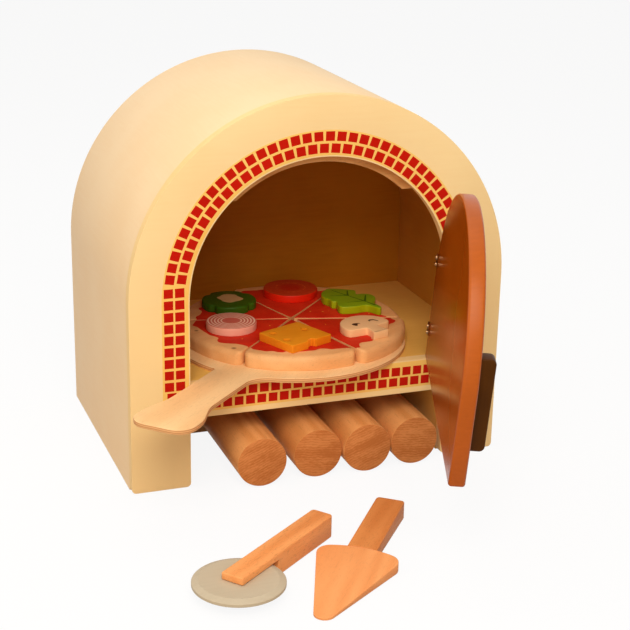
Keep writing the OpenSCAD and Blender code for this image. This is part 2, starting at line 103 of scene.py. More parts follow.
class Graph:
    """A node tree, with short calls that add nodes and join them."""

    def __init__(self, name: str, kind: str = "materials") -> None:
        """Starts an empty node tree.

        Args:
            name: The material's or the world's name.
            kind: Where it is made, materials or worlds.
        """
        self.owner = getattr(bpy.data, kind).new(name)
        self.owner.use_nodes = True
        self.tree = self.owner.node_tree
        self.tree.nodes.clear()

    def node(self, kind: str, feeds: dict[Union[str, int], Value] | None = None, **settings: str) -> bpy.types.Node:
        """Adds a node.

        Args:
            kind: The node's class name after ShaderNode.
            feeds: Values or sockets for its inputs, by input name or number.
            **settings: Attributes to set on the node.

        Returns:
            The new node.
        """
        made = self.tree.nodes.new("ShaderNode" + kind)
        for key, value in settings.items():
            setattr(made, key, value)
        for key, value in (feeds or {}).items():
            if isinstance(value, Socket):
                self.tree.links.new(value, made.inputs[key])
            else:
                made.inputs[key].default_value = value
        return made

    def math(self, operation: str, *values: Value) -> Socket:
        """Adds a Math node and returns its output."""
        return self.node("Math", dict(enumerate(values)), operation=operation).outputs[0]

    def times(self, value: Value, factor: Value) -> Socket:
        """One value times another."""
        return self.math("MULTIPLY", value, factor)

    def line(self, value: Value, slope: float, start: float) -> Socket:
        """A value times a slope, plus a start."""
        return self.math("ADD", self.times(value, slope), start)

    def rest(self, share: Value) -> Socket:
        """What a share leaves of 1."""
        return self.math("SUBTRACT", 1.0, share)

    def weigh(self, *parts: tuple[Value, float]) -> Socket:
        """Adds values up, each times its weight.

        Args:
            *parts: Each value with its weight.

        Returns:
            The sum.
        """
        shares = [self.times(value, weight) for value, weight in parts]
        total = shares.pop()
        while shares:
            total = self.math("ADD", shares.pop(), total)
        return total

    def mix(self, factor: Value, first: Value, second: Value) -> Socket:
        """Adds a colour Mix node and returns its output."""
        return self.node("Mix", {0: factor, 6: first, 7: second}, data_type="RGBA").outputs[2]

    def ramp(self, value: Value, low: float, high: float) -> Socket:
        """Maps low to 0 and high to 1, smoothly, and returns the output."""
        feeds = {"Value": value, "From Min": low, "From Max": high}
        return self.node("MapRange", feeds, interpolation_type="SMOOTHSTEP").outputs[0]

    def tones(self, value: Value, span: Point, pale: Triple, dark: Triple) -> Socket:
        """A colour that goes from pale to dark while a value crosses a span."""
        return self.mix(self.ramp(value, *span), srgb(pale), srgb(dark))

    def noise(self, where: Value, scale: float, detail: float = 2.0, distortion: float = 0.0) -> Socket:
        """Adds a Noise texture and returns its factor."""
        feeds = {"Vector": where, "Scale": scale, "Detail": detail, "Distortion": distortion}
        return self.node("TexNoise", feeds).outputs["Fac"]

    def swing(self, where: Value, scale: float, detail: float = 2.0, distortion: float = 0.0) -> Socket:
        """A Noise texture's factor, brought to either side of 0."""
        return self.math("SUBTRACT", self.noise(where, scale, detail, distortion), 0.5)

    def waves(self, where: Value, apart_mm: float, bend: float, detail: Triple, **settings: str) -> Socket:
        """Adds a Wave texture.

        Args:
            where: Its coordinates.
            apart_mm: How far its bands are apart.
            bend: Its distortion.
            detail: The distortion's detail, scale and roughness.
            **settings: The wave's type and direction.

        Returns:
            Its factor.
        """
        feeds = {"Vector": where, "Scale": WAVE / (apart_mm * MM), "Distortion": bend}
        feeds.update(zip(("Detail", "Detail Scale", "Detail Roughness"), detail))
        return self.node("TexWave", feeds, **settings).outputs["Fac"]

    def place(self, centre: Triple = (0, 0, 0), turn: Triple = (0, 0, 0), stretch: Triple = (1, 1, 1)) -> Socket:
        """Object coordinates, moved so that centre is the origin, then turned and stretched.

        Args:
            centre: The pattern's centre in metres.
            turn: Turns about X, Y and Z in degrees.
            stretch: Factors on the turned axes.

        Returns:
            The mapped coordinates.
        """
        here = self.node("TexCoord").outputs["Object"]
        moved = self.node("VectorMath", {0: here, 1: centre}, operation="SUBTRACT").outputs[0]
        turned = self.node("Mapping", {"Vector": moved, "Rotation": [math.radians(a) for a in turn]}).outputs[0]
        return self.node("Mapping", {"Vector": turned, "Scale": stretch}).outputs[0]

    def axis(self, name: str, where: Value | None = None) -> Socket:
        """One coordinate, X, Y or Z, of a place or of the piece itself."""
        return self.node("SeparateXYZ", {"Vector": self.place() if where is None else where}).outputs[name]

    def distance(self, where: Value) -> Socket:
        """The length of a vector."""
        return self.node("VectorMath", {0: where}, operation="LENGTH").outputs["Value"]

    def end(self, shader: bpy.types.Node, kind: str = "OutputMaterial") -> None:
        """Joins a shader to the output."""
        self.node(kind, {"Surface": shader.outputs[0]})

    def finish(self, colour: Value, roughness: Value, relief: Value, depth: float, gloss: float = 0.5,
               metallic: float = 0.0) -> None:
        """Joins everything to a Principled shader.

        Args:
            colour: The base colour.
            roughness: The roughness.
            relief: The height of the surface's relief, from 0 to about 1.
            depth: The relief's depth in metres.
            gloss: The specular level, set on the shader's own socket.
            metallic: 1 for bare metal.
        """
        normal = self.node("Bump", {"Height": relief, "Distance": depth, "Strength": 1.0}).outputs[0]
        self.end(self.node("BsdfPrincipled", {"Base Color": colour, "Roughness": roughness, "Normal": normal,
                                              "Specular IOR Level": gloss, "Metallic": metallic}))


# Finishes. Noise scales are in waves per metre, and colours are as on a screen, 0 to 255.

@dataclass(frozen=True)
class Finish:
    """A surface's look. Each kind joins its own nodes in lay."""

    name: str

    def lay(self, graph: Graph) -> None:
        """Adds the finish's nodes to a graph."""
        raise NotImplementedError

    def build(self) -> bpy.types.Material:
        """Makes the material.

        Returns:
            The material.
        """
        graph = Graph(self.name)
        self.lay(graph)
        return graph.owner


@dataclass(frozen=True)
class Paint(Finish):
    """Satin paint on wood: slow changes of tone, faint grain and brush marks showing through.

    The paint may deepen towards another colour at the foot, up to a height in metres: painted shade for the weaker
    light low down.
    """

    colour: Triple
    shade: Triple
    roughness: float = 0.55
    gloss: float = 0.2
    turn: Triple = Grain.ACROSS.value
    depth: float = 0.00005
    foot: Triple | None = None
    shade_rise: float = 0.3

    def colours(self, graph: Graph) -> tuple[Socket, Socket]:
        """Adds the paint's pattern.

        Args:
            graph: The material's graph.

        Returns:
            The colour and the relief's height.
        """
        slow = graph.noise(graph.place(), 14, 3)
        strands = graph.noise(graph.place(turn=self.turn, stretch=(0.08, 1, 1)), 420, 3, 0.3)
        speckle = graph.noise(graph.place(), 1500)
        colour = graph.tones(graph.weigh((slow, 0.7), (strands, 0.3)), (0.36, 0.68), self.colour, self.shade)
        # painted shade: the colour deepens towards the foot, where less light falls
        if self.foot:
            lower = graph.rest(graph.ramp(graph.axis("Z"), 0.0, self.shade_rise))
            colour = graph.mix(lower, colour, srgb(self.foot))
        return colour, graph.weigh((strands, 0.7), (speckle, 0.3))

    def lay(self, graph: Graph) -> None:
        """Adds the paint's nodes."""
        colour, relief = self.colours(graph)
        graph.finish(colour, graph.line(relief, 0.05, self.roughness - 0.025), relief, self.depth, self.gloss)


@dataclass(frozen=True)
class TwoSides(Finish):
    """A board with one paint on its front and another from a plane in Y backwards."""

    front: Paint
    rear: Paint
    plane: float

    def lay(self, graph: Graph) -> None:
        """Adds both paints' nodes, with the front's gloss and relief.

        Args:
            graph: The material's graph.
        """
        inner, relief = self.front.colours(graph)
        outer, _ = self.rear.colours(graph)
        colour = graph.mix(graph.math("GREATER_THAN", graph.axis("Y"), self.plane), inner, outer)
        graph.finish(colour, self.front.roughness, relief, self.front.depth, self.front.gloss)


@dataclass(frozen=True)
class Wood(Finish):
    """Bare or stained wood: growth bands along the grain, fine flecks, and knots where given.

    A knot is its place and its radius, in millimetres of the model's own frame.
    """

    pale: Triple
    dark: Triple
    turn: Triple = Grain.ACROSS.value
    cut: Cut = Cut.QUARTER
    band_mm: float = 9.0
    bend: float = 2.2
    bands: float = 0.45
    flecks: float = 0.35
    roughness: float = 0.55
    gloss: float = 0.25
    depth: float = 0.00008
    centre: Triple = (0, 0, 0)
    knots: tuple[tuple[float, float, float, float], ...] = ()

    def colours(self, graph: Graph) -> tuple[Socket, Socket]:
        """Adds the wood's pattern.

        Args:
            graph: The material's graph.

        Returns:
            The colour and the relief's height.
        """
        along, fine, short = (graph.place(self.centre, self.turn, (share, 1, 1)) for share in (0.16, 0.07, 0.22))
        rolled = graph.node("Mapping", {"Vector": along, "Rotation": (math.radians(ROLL), 0, 0)}).outputs[0]
        growth = graph.waves(rolled, self.band_mm, self.bend, (3.0, 1.2, 0.6), wave_type=self.cut.value,
                             bands_direction="Y")
        strands = graph.noise(fine, 900, 3, 0.2)
        tone = graph.weigh((growth, self.bands), (graph.noise(along, 55, 4, 0.4), 1 - self.bands))
        colour = graph.tones(tone, (0.22, 0.78), self.pale, self.dark)
        pores = graph.ramp(graph.math("MAXIMUM", strands, graph.noise(short, 1500, 1)), 0.56, 0.76)
        colour = graph.mix(graph.times(pores, self.flecks), colour, srgb(self.dark, 0.72))
        for x, y, z, radius in self.knots:
            reach = graph.distance(graph.place((x * MM, y * MM, z * MM)))
            spot = graph.rest(graph.ramp(reach, radius * 0.3 * MM, radius * 1.3 * MM))
            colour = graph.mix(graph.times(spot, 0.75), colour, srgb((112, 62, 22)))
        return colour, strands

    def lay(self, graph: Graph) -> None:
        """Adds the wood's nodes."""
        colour, relief = self.colours(graph)
        graph.finish(colour, graph.line(relief, 0.2, self.roughness - 0.1), relief, self.depth, self.gloss)


@dataclass(frozen=True)
class EndGrain(Finish):
    """A sawn end: near-parallel growth lines with fine pores and a faint saw relief."""

    pale: Triple
    dark: Triple
    centre: Triple
    angle: float
    dark_at: float
    line_mm: float = 2.2

    def lay(self, graph: Graph) -> None:
        """Adds the end's nodes. A broad darker band crosses it at dark_at millimetres.

        Args:
            graph: The material's graph.
        """
        turn = (0, self.angle, 0)
        across = graph.place(self.centre, turn)
        lines = graph.waves(across, self.line_mm, 5.0, (2.0, 0.6, 0.5), bands_direction="Z")
        fine = graph.noise(graph.place(self.centre, turn, (0.25, 1, 1)), 1500)
        cloud = graph.noise(graph.place(self.centre, turn, (0.35, 1, 1)), 150, 3)
        off = graph.math("ABSOLUTE", graph.math("SUBTRACT", graph.axis("Z", across), self.dark_at * MM))
        heart = graph.rest(graph.ramp(off, 1.0 * MM, 7.0 * MM))
        tone = graph.math("ADD", graph.weigh((lines, 0.1), (fine, 0.42), (cloud, 0.48)), graph.times(heart, 0.1))
        relief = graph.math("ADD", graph.times(lines, 0.4), fine)
        graph.finish(graph.tones(tone, (0.32, 0.68), self.pale, self.dark), 0.75, relief, 0.00006, 0.15)


@dataclass(frozen=True)
class PlyEdge(Finish):
    """The edge of a thin plywood board: pale and brown veneers one over another."""

    low: float
    thickness: float
    pale: Triple = (238, 186, 130)
    dark: Triple = (206, 148, 98)

    def lay(self, graph: Graph) -> None:
        """Adds the edge's nodes: two and a half pairs of veneers, a little wavy.

        Args:
            graph: The material's graph.
        """
        where = graph.place((0, 0, self.low))
        wobble = graph.times(graph.swing(where, 240), self.thickness * 0.12)
        share = graph.math("DIVIDE", graph.math("ADD", graph.axis("Z", where), wobble), self.thickness)
        sheet = graph.math("FRACT", graph.times(share, 2.5))
        layer = graph.math("ABSOLUTE", graph.math("SUBTRACT", sheet, 0.5))
        grain = graph.noise(graph.place(stretch=(1, 1, 6)), 900)
        tone = graph.math("ADD", graph.ramp(layer, 0.16, 0.34), graph.times(grain, 0.4))
        tone = graph.math("MINIMUM", graph.math("SUBTRACT", tone, 0.15), 1.0)
        graph.finish(graph.mix(tone, srgb(self.pale), srgb(self.dark)), 0.65, grain, 0.00006, 0.15)


@dataclass(frozen=True)
class Sauce(Finish):
    """A slice's top: bare wood at the crust, red sauce with a wavy edge and small yellow flecks."""

    wood: Wood
    centre: Triple
    reach_mm: float

    def lay(self, graph: Graph) -> None:
        """Adds the top's nodes.

        Args:
            graph: The material's graph.
        """
        wood, relief = self.wood.colours(graph)
        flat = graph.place(self.centre, stretch=(1, 1, 0))
        waver = graph.weigh((graph.swing(flat, 42, 1, 0.2), 30 * MM), (graph.swing(flat, 115, 0), 5 * MM))
        edge = graph.math("ADD", graph.distance(flat), waver)
        bare = graph.ramp(edge, (self.reach_mm - 0.25) * MM, (self.reach_mm + 0.25) * MM)
        tone = graph.weigh((graph.noise(flat, 60, 3), 0.7), (graph.noise(flat, 700), 0.3))
        red = graph.tones(tone, (0.3, 0.7), (222, 52, 24), (204, 34, 14))
        cells = graph.node("TexVoronoi", {"Vector": flat, "Scale": 95.0}).outputs
        draw = graph.node("SeparateColor", {"Color": cells["Color"]}).outputs[0]
        fleck = graph.times(graph.math("GREATER_THAN", draw, 0.3), graph.math("LESS_THAN", cells["Distance"], 0.085))
        red = graph.mix(fleck, red, srgb((246, 156, 60)))
        graph.finish(graph.mix(bare, red, wood), graph.line(relief, 0.15, 0.45), relief, 0.00005, 0.2)


@dataclass(frozen=True)
class RingPrint(Finish):
    """A disc's printed top: rings round the centre over a mottled ground, with a core of its own tone.

    The rings lie between two shares of the radius, at an even step, and may be broken into dashes.
    """

    ground: Triple
    core: Triple
    ring: Triple
    centre: Triple
    radius_mm: float
    core_share: float
    first: float
    last: float
    step: float
    dashes: float = 0.0

    def lay(self, graph: Graph) -> None:
        """Adds the print's nodes.

        Args:
            graph: The material's graph.
        """
        flat = graph.place(self.centre, stretch=(1, 1, 0))
        share = graph.math("DIVIDE", graph.distance(flat), self.radius_mm * MM)
        share = graph.math("ADD", share, graph.times(graph.swing(flat, 70), 0.03))
        mottle = graph.ramp(graph.noise(flat, 260, 3), 0.35, 0.68)
        inner = graph.rest(graph.ramp(share, self.core_share - 0.08, self.core_share + 0.06))
        ground = graph.mix(graph.times(mottle, 0.35), srgb(self.ground), srgb(self.core))
        colour = graph.mix(graph.times(inner, graph.line(mottle, 0.3, 0.65)), ground, srgb(self.core))
        turns = graph.times(graph.math("SUBTRACT", share, self.first), math.tau / self.step)
        within = graph.times(graph.ramp(share, self.first - self.step / 2, self.first - self.step / 4),
                             graph.math("LESS_THAN", share, self.last + self.step / 2))
        rings = graph.times(graph.ramp(graph.math("COSINE", turns), -0.2, 0.7), within)
        if self.dashes:
            rings = graph.times(rings, graph.ramp(graph.noise(flat, self.dashes, 1), 0.48, 0.56))
        graph.finish(graph.mix(graph.times(rings, 0.85), colour, srgb(self.ring)), 0.5, mottle, 0.00005, 0.2)


@dataclass(frozen=True)
class Metal(Finish):
    """Brushed or turned metal of the hinges."""

    colour: Triple
    roughness: float

    def lay(self, graph: Graph) -> None:
        """Adds the metal's nodes.

        Args:
            graph: The material's graph.
        """
        brushed = graph.noise(graph.place(stretch=(1, 1, 0.08)), 2600)
        smudge = graph.noise(graph.place(), 300)
        colour = graph.mix(graph.times(smudge, 0.4), srgb(self.colour), srgb(self.colour, 0.8))
        graph.finish(colour, graph.line(smudge, 0.2, self.roughness - 0.1), brushed, 0.00001, metallic=1.0)


CREAM = ((253, 227, 172), (251, 222, 164))
# A deep brown for the oven's inner faces, darker than the cream they are painted: painted shade.
INSIDE_PAINTED_SHADE = ((192, 122, 24), (180, 110, 16))
BEECH = ((226, 172, 110), (208, 150, 88))
DOWEL = ((226, 176, 118), (206, 150, 92))


# Shaping, all in millimetres

UPRIGHT_TURN = Matrix.Rotation(math.radians(90), 4, "X")


def at(x: float, y: float, turn: float = 0.0, z: float = 0.0) -> Matrix:
    """A place, turned about the upright axis by an angle in degrees."""
    return Matrix.Translation((x, y, z)) @ Matrix.Rotation(math.radians(turn), 4, "Z")


def arc(centre: Point, radius: float, start: float, end: float, steps: int) -> Outline:
    """Points along an arc, both ends included.

    Args:
        centre: The arc's centre.
        radius: Its radius.
        start: The first angle in degrees.
        end: The last angle in degrees.
        steps: How many stretches the arc has.

    Returns:
        The points.
    """
    angles = [math.radians(start + (end - start) * step / steps) for step in range(steps + 1)]
    return [(centre[0] + radius * math.cos(a), centre[1] + radius * math.sin(a)) for a in angles]


def smooth_loop(points: Outline, steps: int) -> Outline:
    """A closed smooth curve through the points.

    Args:
        points: The points it passes through, in order.
        steps: How many stretches lie between two points.

    Returns:
        The curve's points.
    """
    curve = []
    count = len(points)
    for index in range(count):
        before, here, there, after = (Vector(points[(index + offset) % count]) for offset in (-1, 0, 1, 2))
        for step in range(steps):
            t = step / steps
            spot = 0.5 * (2 * here + (there - before) * t + (2 * before - 5 * here + 4 * there - after) * t * t
                          + (3 * here - before - 3 * there + after) * t ** 3)
            curve.append((spot.x, spot.y))
    return curve


def round_corners(corners: Outline, radii: Sequence[float], steps: int = 6) -> Outline:
    """A polygon with its corners rounded.

    Args:
        corners: The polygon's corners, counter-clockwise.
        radii: One radius for each corner.
        steps: How many stretches a corner has.

    Returns:
        The rounded outline.
    """
    outline = []
    for index, radius in enumerate(radii):
        here = Vector(corners[index])
        if not radius:
            outline.append((here.x, here.y))
            continue
        back = (Vector(corners[index - 1]) - here).normalized()
        ahead = (Vector(corners[(index + 1) % len(corners)]) - here).normalized()
        half = back.angle(ahead) / 2
        middle = here + (back + ahead).normalized() * (radius / math.sin(half))
        start, end = ((here + side * (radius / math.tan(half)) - middle).normalized() for side in (back, ahead))
        for step in range(steps + 1):
            spot = middle + start.slerp(end, step / steps) * radius
            outline.append((spot.x, spot.y))
    return outline


def inset(outline: Outline, distances: Sequence[float]) -> Outline:
    """Moves each point of a counter-clockwise outline inwards.

    Args:
        outline: The outline.
        distances: How far each point moves.

    Returns:
        The moved outline.
    """
    moved = []
    for index, distance in enumerate(distances):
        along = (Vector(outline[(index + 1) % len(outline)]) - Vector(outline[index - 1])).normalized()
        here = Vector(outline[index]) + Vector((-along.y, along.x)) * distance
        moved.append((here.x, here.y))
    return moved


def wire(mesh: Mesh, points: Sequence[Triple]) -> tuple[list[bmesh.types.BMVert], list[bmesh.types.BMEdge]]:
    """Draws a closed loop of edges in a mesh and returns its corners and edges."""
    verts = [mesh.verts.new(point) for point in points]
    return verts, [mesh.edges.new((verts[i - 1], verts[i])) for i in range(len(verts))]


def slab(outline: Outline, low: float, high: float, round_top: Union[float, Sequence[float]] = 0.0,
         round_low: float = 0.0, segments: int = 4) -> Mesh:
    """A flat piece with rounded rims: the outline is extruded, ring by ring.

    Args:
        outline: The outline, counter-clockwise.
        low: The height of the lower face.
        high: The height of the upper face.
        round_top: The upper rim's radius, one for all points or one each.
        round_low: The lower rim's radius.
        segments: How many steps a rounded rim has.

    Returns:
        The piece's mesh.
    """
    tops = [round_top] * len(outline) if isinstance(round_top, (int, float)) else list(round_top)
    turns = [math.radians(90 * step / segments) for step in range(segments + 1)]
    rings = []
    for radii, face_at, way in (([round_low] * len(outline), low, 1), (tops, high, -1)):
        for turn in turns if max(radii) else turns[:1]:
            inwards, upwards = (1 - math.sin(turn), 1 - math.cos(turn))[::way]
            rings.append((inset(outline, [radius * inwards for radius in radii]),
                          [face_at + way * radius * upwards for radius in radii]))
    mesh = bmesh.new()
    face = mesh.faces.new([mesh.verts.new((x, y, z)) for (x, y), z in zip(*rings[0])])
    for number, ring in enumerate(rings[1:]):
        made = bmesh.ops.extrude_face_region(mesh, geom=[face])["geom"]
        if number and face.is_valid:
            bmesh.ops.delete(mesh, geom=[face], context="FACES_ONLY")
        face = next(item for item in made if isinstance(item, bmesh.types.BMFace))
        for vert, (x, y), z in zip(face.verts, *ring):
            vert.co = (x, y, z)
    bmesh.ops.recalc_face_normals(mesh, faces=mesh.faces[:])
    return mesh


def round_edges(mesh: Mesh, edges: Sequence[bmesh.types.BMEdge], radius: float, segments: int) -> None:
    """Rounds edges of a mesh."""
    bmesh.ops.bevel(mesh, geom=edges, offset=radius, offset_type="OFFSET", segments=segments, profile=0.5,
                    affect="EDGES", material=-1, clamp_overlap=True)


def rims(mesh: Mesh, level: Callable[[float], bool]) -> list[bmesh.types.BMEdge]:
    """The edges at a level, which a test of the height finds, that border on a side face."""
    return [edge for edge in mesh.edges if all(level(vert.co.z) for vert in edge.verts)
            and any(abs(face.normal.z) < 0.5 for face in edge.link_faces)]


def pierced(outline: Outline, holes: Sequence[Outline], low: float, high: float, rim: float) -> Mesh:
    """A flat board with holes, its upper rims rounded.

    Args:
        outline: The board's outline.
        holes: The outlines of its holes.
        low: The height of the lower face.
        high: The height of the upper face.
        rim: The radius of the upper rims.

    Returns:
        The board's mesh.
    """
    mesh = bmesh.new()
    edges = []
    for loop in [outline, *holes]:
        edges += wire(mesh, [(x, y, low) for x, y in loop])[1]
    filled = bmesh.ops.triangle_fill(mesh, edges=edges, use_beauty=True, use_dissolve=False, normal=(0, 0, 1))
    faces = [item for item in filled["geom"] if isinstance(item, bmesh.types.BMFace)]
    made = bmesh.ops.extrude_face_region(mesh, geom=faces)["geom"]
    lifted = [item for item in made if isinstance(item, bmesh.types.BMVert)]
    bmesh.ops.translate(mesh, verts=lifted, vec=(0, 0, high - low))
    bmesh.ops.recalc_face_normals(mesh, faces=mesh.faces[:])
    round_edges(mesh, rims(mesh, lambda height: height > high - 1e-6), rim, 4)
    return mesh


def soften(mesh: Mesh, radius: float, sharp: float, segments: int) -> None:
    """Rounds every edge of a mesh that is sharper than an angle in degrees."""
    round_edges(mesh, [edge for edge in mesh.edges if len(edge.link_faces) == 2
                       and edge.calc_face_angle(0) > math.radians(sharp)], radius, segments)


def settle(mesh: Mesh, name: str) -> bpy.types.Mesh:
    """Turns a mesh that is being shaped into mesh data.

    Args:
        mesh: The mesh, which is used up.
        name: The data's name.

    Returns:
        The mesh data.
    """
    data = bpy.data.meshes.new(name)
    mesh.to_mesh(data)
    mesh.free()
    return data


def mark(mesh: Mesh, test: Callable[[bmesh.types.BMFace], bool]) -> None:
    """Gives some faces the second finish.

    Args:
        mesh: The mesh.
        test: Picks the faces.
    """
    for face in mesh.faces:
        if test(face):
            face.material_index = 1


def add_mesh(mesh: Mesh, other: Mesh) -> None:
    """Adds another mesh's shells to a mesh, in the third finish.

    Args:
        mesh: The mesh.
        other: What is added. It is used up.
    """
    for face in other.faces:
        face.material_index = 2
    data = settle(other, "joined")
    mesh.from_mesh(data)
    bpy.data.meshes.remove(data)


def put(name: str, data: bpy.types.ID) -> bpy.types.Object:
    """Makes an object and adds it to the scene.

    Args:
        name: Its name.
        data: Its mesh, lamp or camera.

    Returns:
        The object.
    """
    made = bpy.data.objects.new(name, data)
    bpy.context.scene.collection.objects.link(made)
    return made


@dataclass
class Builder:
    """Turns finished meshes into pieces that ride on the model's bodies."""

    depth: float = field(default_factory=lambda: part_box("shell")[1][1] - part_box("front_panel")[0][1])

    @property
    def to_metres(self) -> Matrix:
        """Carries millimetres behind the front face's foot to metres in the model's frame."""
        return Matrix.Translation((0, -self.depth / 2, 0)) @ Matrix.Scale(MM, 4)

    def piece(self, mesh: Mesh, name: str, body: str, finishes: Sequence[Finish], node: str, slot: str,
              place: Matrix, crease: float = 38.0) -> bpy.types.Object:
        """Makes an object from a mesh in millimetres, measured from the front face.

        Args:
            mesh: The mesh, which is used up.
            name: The piece's name.
            body: The body that it rides on.
            finishes: Its finishes, in the order of the faces' indices.
            node: The CAD node that it replaces, or nothing.
            slot: The record's material slot. It is not used.
            place: A further transform in millimetres, applied first.
            crease: The angle in degrees above which an edge stays sharp.

        Returns:
            The new object.
        """
        for matrix in (place, self.to_metres):
            bmesh.ops.transform(mesh, matrix=matrix, verts=mesh.verts[:])
        data = settle(mesh, name)
        data.shade_smooth()
        data.set_sharp_from_angle(angle=math.radians(crease))
        for finish in finishes:
            data.materials.append(finish.build())
        made = put(name, data)
        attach(made, body)
        if node:
            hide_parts(node)
        LOG.info("%s: %d faces on %s", name, len(data.polygons), body)
        return made

    def dress(self, finish: Finish, *nodes: str) -> None:
        """Gives CAD nodes that stay in view their finish.

        Args:
            finish: The finish.
            *nodes: The nodes.
        """
        material = finish.build()
        for node in nodes:
            slots = frame["nodes"][node].data.materials
            slots.clear()
            slots.append(material)
            LOG.info("%s: dressed in %s", node, finish.name)


# Sub-assemblies

@dataclass
class OvenBody:
    """The front panel, the bent shell and the boards inside."""

    builder: Builder
    half_width: float = 160.0
    spring: float = 157.0
    opening: float = 111.0
    floor: float = 89.0
    bay: float = 60.0
    panel: float = 9.0
    shell: float = 5.0
    edge: float = 1.8
    rear_edge: float = 0.8
    skin: float = 0.5
    toe: float = 3.5

    def arch(self, radius: float, foot: float, steps: int = ROUND, shift: float = 0.0) -> Outline:
        """A round-topped outline, counter-clockwise from its lower right corner."""
        return [(shift + radius, foot), *arc((shift, self.spring), radius, 0, 180, steps), (shift - radius, foot)]

    def fix(self, mesh: Mesh, name: str, finishes: Sequence[Finish], node: str = "", slot: str = "front") -> None:
        """Makes a piece of the body from a mesh that is drawn as seen from the front."""
        self.builder.piece(mesh, name, "oven", finishes, node, "painted_wood_" + slot, UPRIGHT_TURN)

    def front_panel(self) -> None:
        """Builds the front panel with its opening and log bay."""
        right = round_corners([(self.opening, self.bay), (self.opening, 0), (self.half_width, 0),
                               (self.half_width, self.spring)], [0, self.toe, self.toe, 0])
        left = [(-x, y) for x, y in reversed(right)]
        outline = right[:-1] + self.arch(self.half_width, 0)[1:-1] + left[1:]
        mesh = pierced(outline, [self.arch(self.opening, self.floor, 72)], -self.panel, 0, self.edge)
        mark(mesh, lambda face: abs(face.normal.z) < 0.5)
        # The front's paint deepens towards its foot: painted shade.
        finishes = [Paint("front_paint", *CREAM, foot=(252, 220, 160)),
                    Paint("front_edge_paint", (253, 220, 156), (251, 213, 146))]
        self.fix(mesh, "front_panel_board", finishes, "front_panel")

    def bent_shell(self) -> None:
        """Builds the shell as one strip bent over the arch, its inner faces in a deep brown of painted shade."""
        inner = self.arch(self.half_width - self.shell, 0)
        rear = self.builder.depth / MM
        mesh = pierced([*self.arch(self.half_width, 0), *reversed(inner)], [], -rear, -self.panel + HAIR, HAIR)
        round_edges(mesh, rims(mesh, lambda height: height < -rear + 0.01), self.rear_edge, 3)
        # The inner faces get a deep brown instead of the shell's cream: painted shade.
        within = self.half_width - self.shell + self.skin
        mark(mesh, lambda face: all(math.hypot(vert.co.x, max(0, vert.co.y - self.spring)) < within
                                    for vert in face.verts))
        turn = Grain.DEEP.value
        finishes = [Paint("shell_paint", (253, 224, 180), (251, 219, 172), turn=turn),
                    Paint("shell_inside_painted_shade", (216, 150, 54), (206, 140, 46), turn=turn, gloss=0.1)]
        self.fix(mesh, "bent_shell", finishes, "shell", "shell")

    def boards(self) -> None:
        """Dresses the boards that stay as the model has them."""
        dress = self.builder.dress
        # The floor and the bay's sides get a deeper yellow than their cream paint: painted shade.
        for node in ("oven_floor", "bay_sides"):
            dress(Paint(node + "_paint", (246, 196, 100), (238, 186, 90), gloss=0.12), node)
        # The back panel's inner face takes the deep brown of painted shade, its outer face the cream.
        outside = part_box("back_panel")[1][1] - 1.0 * MM
        dress(TwoSides("back_shade_and_cream_paint", Paint("", *INSIDE_PAINTED_SHADE, gloss=0.15), Paint("", *CREAM), outside), "back_panel")
        dress(Wood("plain_beech", *BEECH), "log_stop", "stop_arch", "floor_cleats")

    def build(self) -> None:
        """Builds and dresses the whole body."""
        self.front_panel()
        self.bent_shell()
        self.boards()


@dataclass
class Mosaic:
    """The printed band of small square tiles round the opening, two rows wide.

    A row over the arch is its radius, its step in degrees and its count of tiles. A row of the sill is its
    height and its first tile's place across.
    """

    body: OvenBody
    shift: float = -1.2
    tile: float = 7.55
    arch_rows: tuple[tuple[float, float, int], ...] = ((127.3, 4.35, 38), (117.7, 4.7, 35))
    columns: Point = (126.9, 117.8)
    column_top: float = 166.8
    column_pitch: float = 9.74
    column_rows: int = 9
    sill_rows: tuple[Point, ...] = ((79.8, -126.1), (70.6, -128.2))
    sill_pitch: float = 9.65
    sill_count: int = 27
    band_edge: float = 132.4
    band_foot: float = 64.8
    lift: float = 0.06
    sunk: float = 0.02
    wander: float = 0.7
    wander_seed: float = 12.9898
    uneven: float = 0.012
    uneven_seed: float = 4.1

    def band(self) -> None:
        """Lays the deeper yellow ground that the tiles stand on, clear of the opening's rounded rim."""
        clear = self.body.edge * 0.6
        hole = self.body.arch(self.body.opening + clear, self.body.floor - clear)
        outline = self.body.arch(self.band_edge, self.band_foot, shift=self.shift)
        mesh = pierced(outline, [hole], -self.sunk, self.lift / 2, self.sunk / 2)
        self.body.fix(mesh, "mosaic_ground", [Paint("grout_paint", (254, 212, 118), (252, 204, 106))])

    def tile_places(self) -> list[Triple]:
        """Works out where the tiles stand.

        Returns:
            For each tile its centre across, its centre up and its turn in degrees.
        """
        places = []
        for radius, step, count in self.arch_rows:
            for index in range(count):
                turn = step * (index - (count - 1) / 2)
                places.append((self.shift + radius * math.sin(math.radians(turn)),
                               self.body.spring + radius * math.cos(math.radians(turn)), -turn))
        for column in self.columns:
            for row in range(self.column_rows):
                for side in (-1, 1):
                    places.append((self.shift + side * column, self.column_top - row * self.column_pitch, 0.0))
        for height, start in self.sill_rows:
            places += [(start + index * self.sill_pitch, height, 0.0) for index in range(self.sill_count)]
        return places

    def tiles(self) -> None:
        """Lays the red tiles, each a little out of true as on the print."""
        mesh = bmesh.new()
        for number, (x, z, turn) in enumerate(self.tile_places()):
            made = bmesh.ops.create_cube(mesh, size=1)["verts"]
            stray = math.sin(number * self.wander_seed) * self.wander
            size = self.tile * (1 + self.uneven * math.sin(number * self.uneven_seed))
            place = at(x, z, turn + stray, self.lift / 2) @ Matrix.Diagonal((size, size, self.lift, 1))
            bmesh.ops.transform(mesh, matrix=place, verts=made)
        self.body.fix(mesh, "mosaic_tiles", [Paint("tile_paint", (202, 24, 5), (188, 18, 3), gloss=0.1)])

    def build(self) -> None:
        """Builds the whole mosaic."""
        self.band()
        self.tiles()


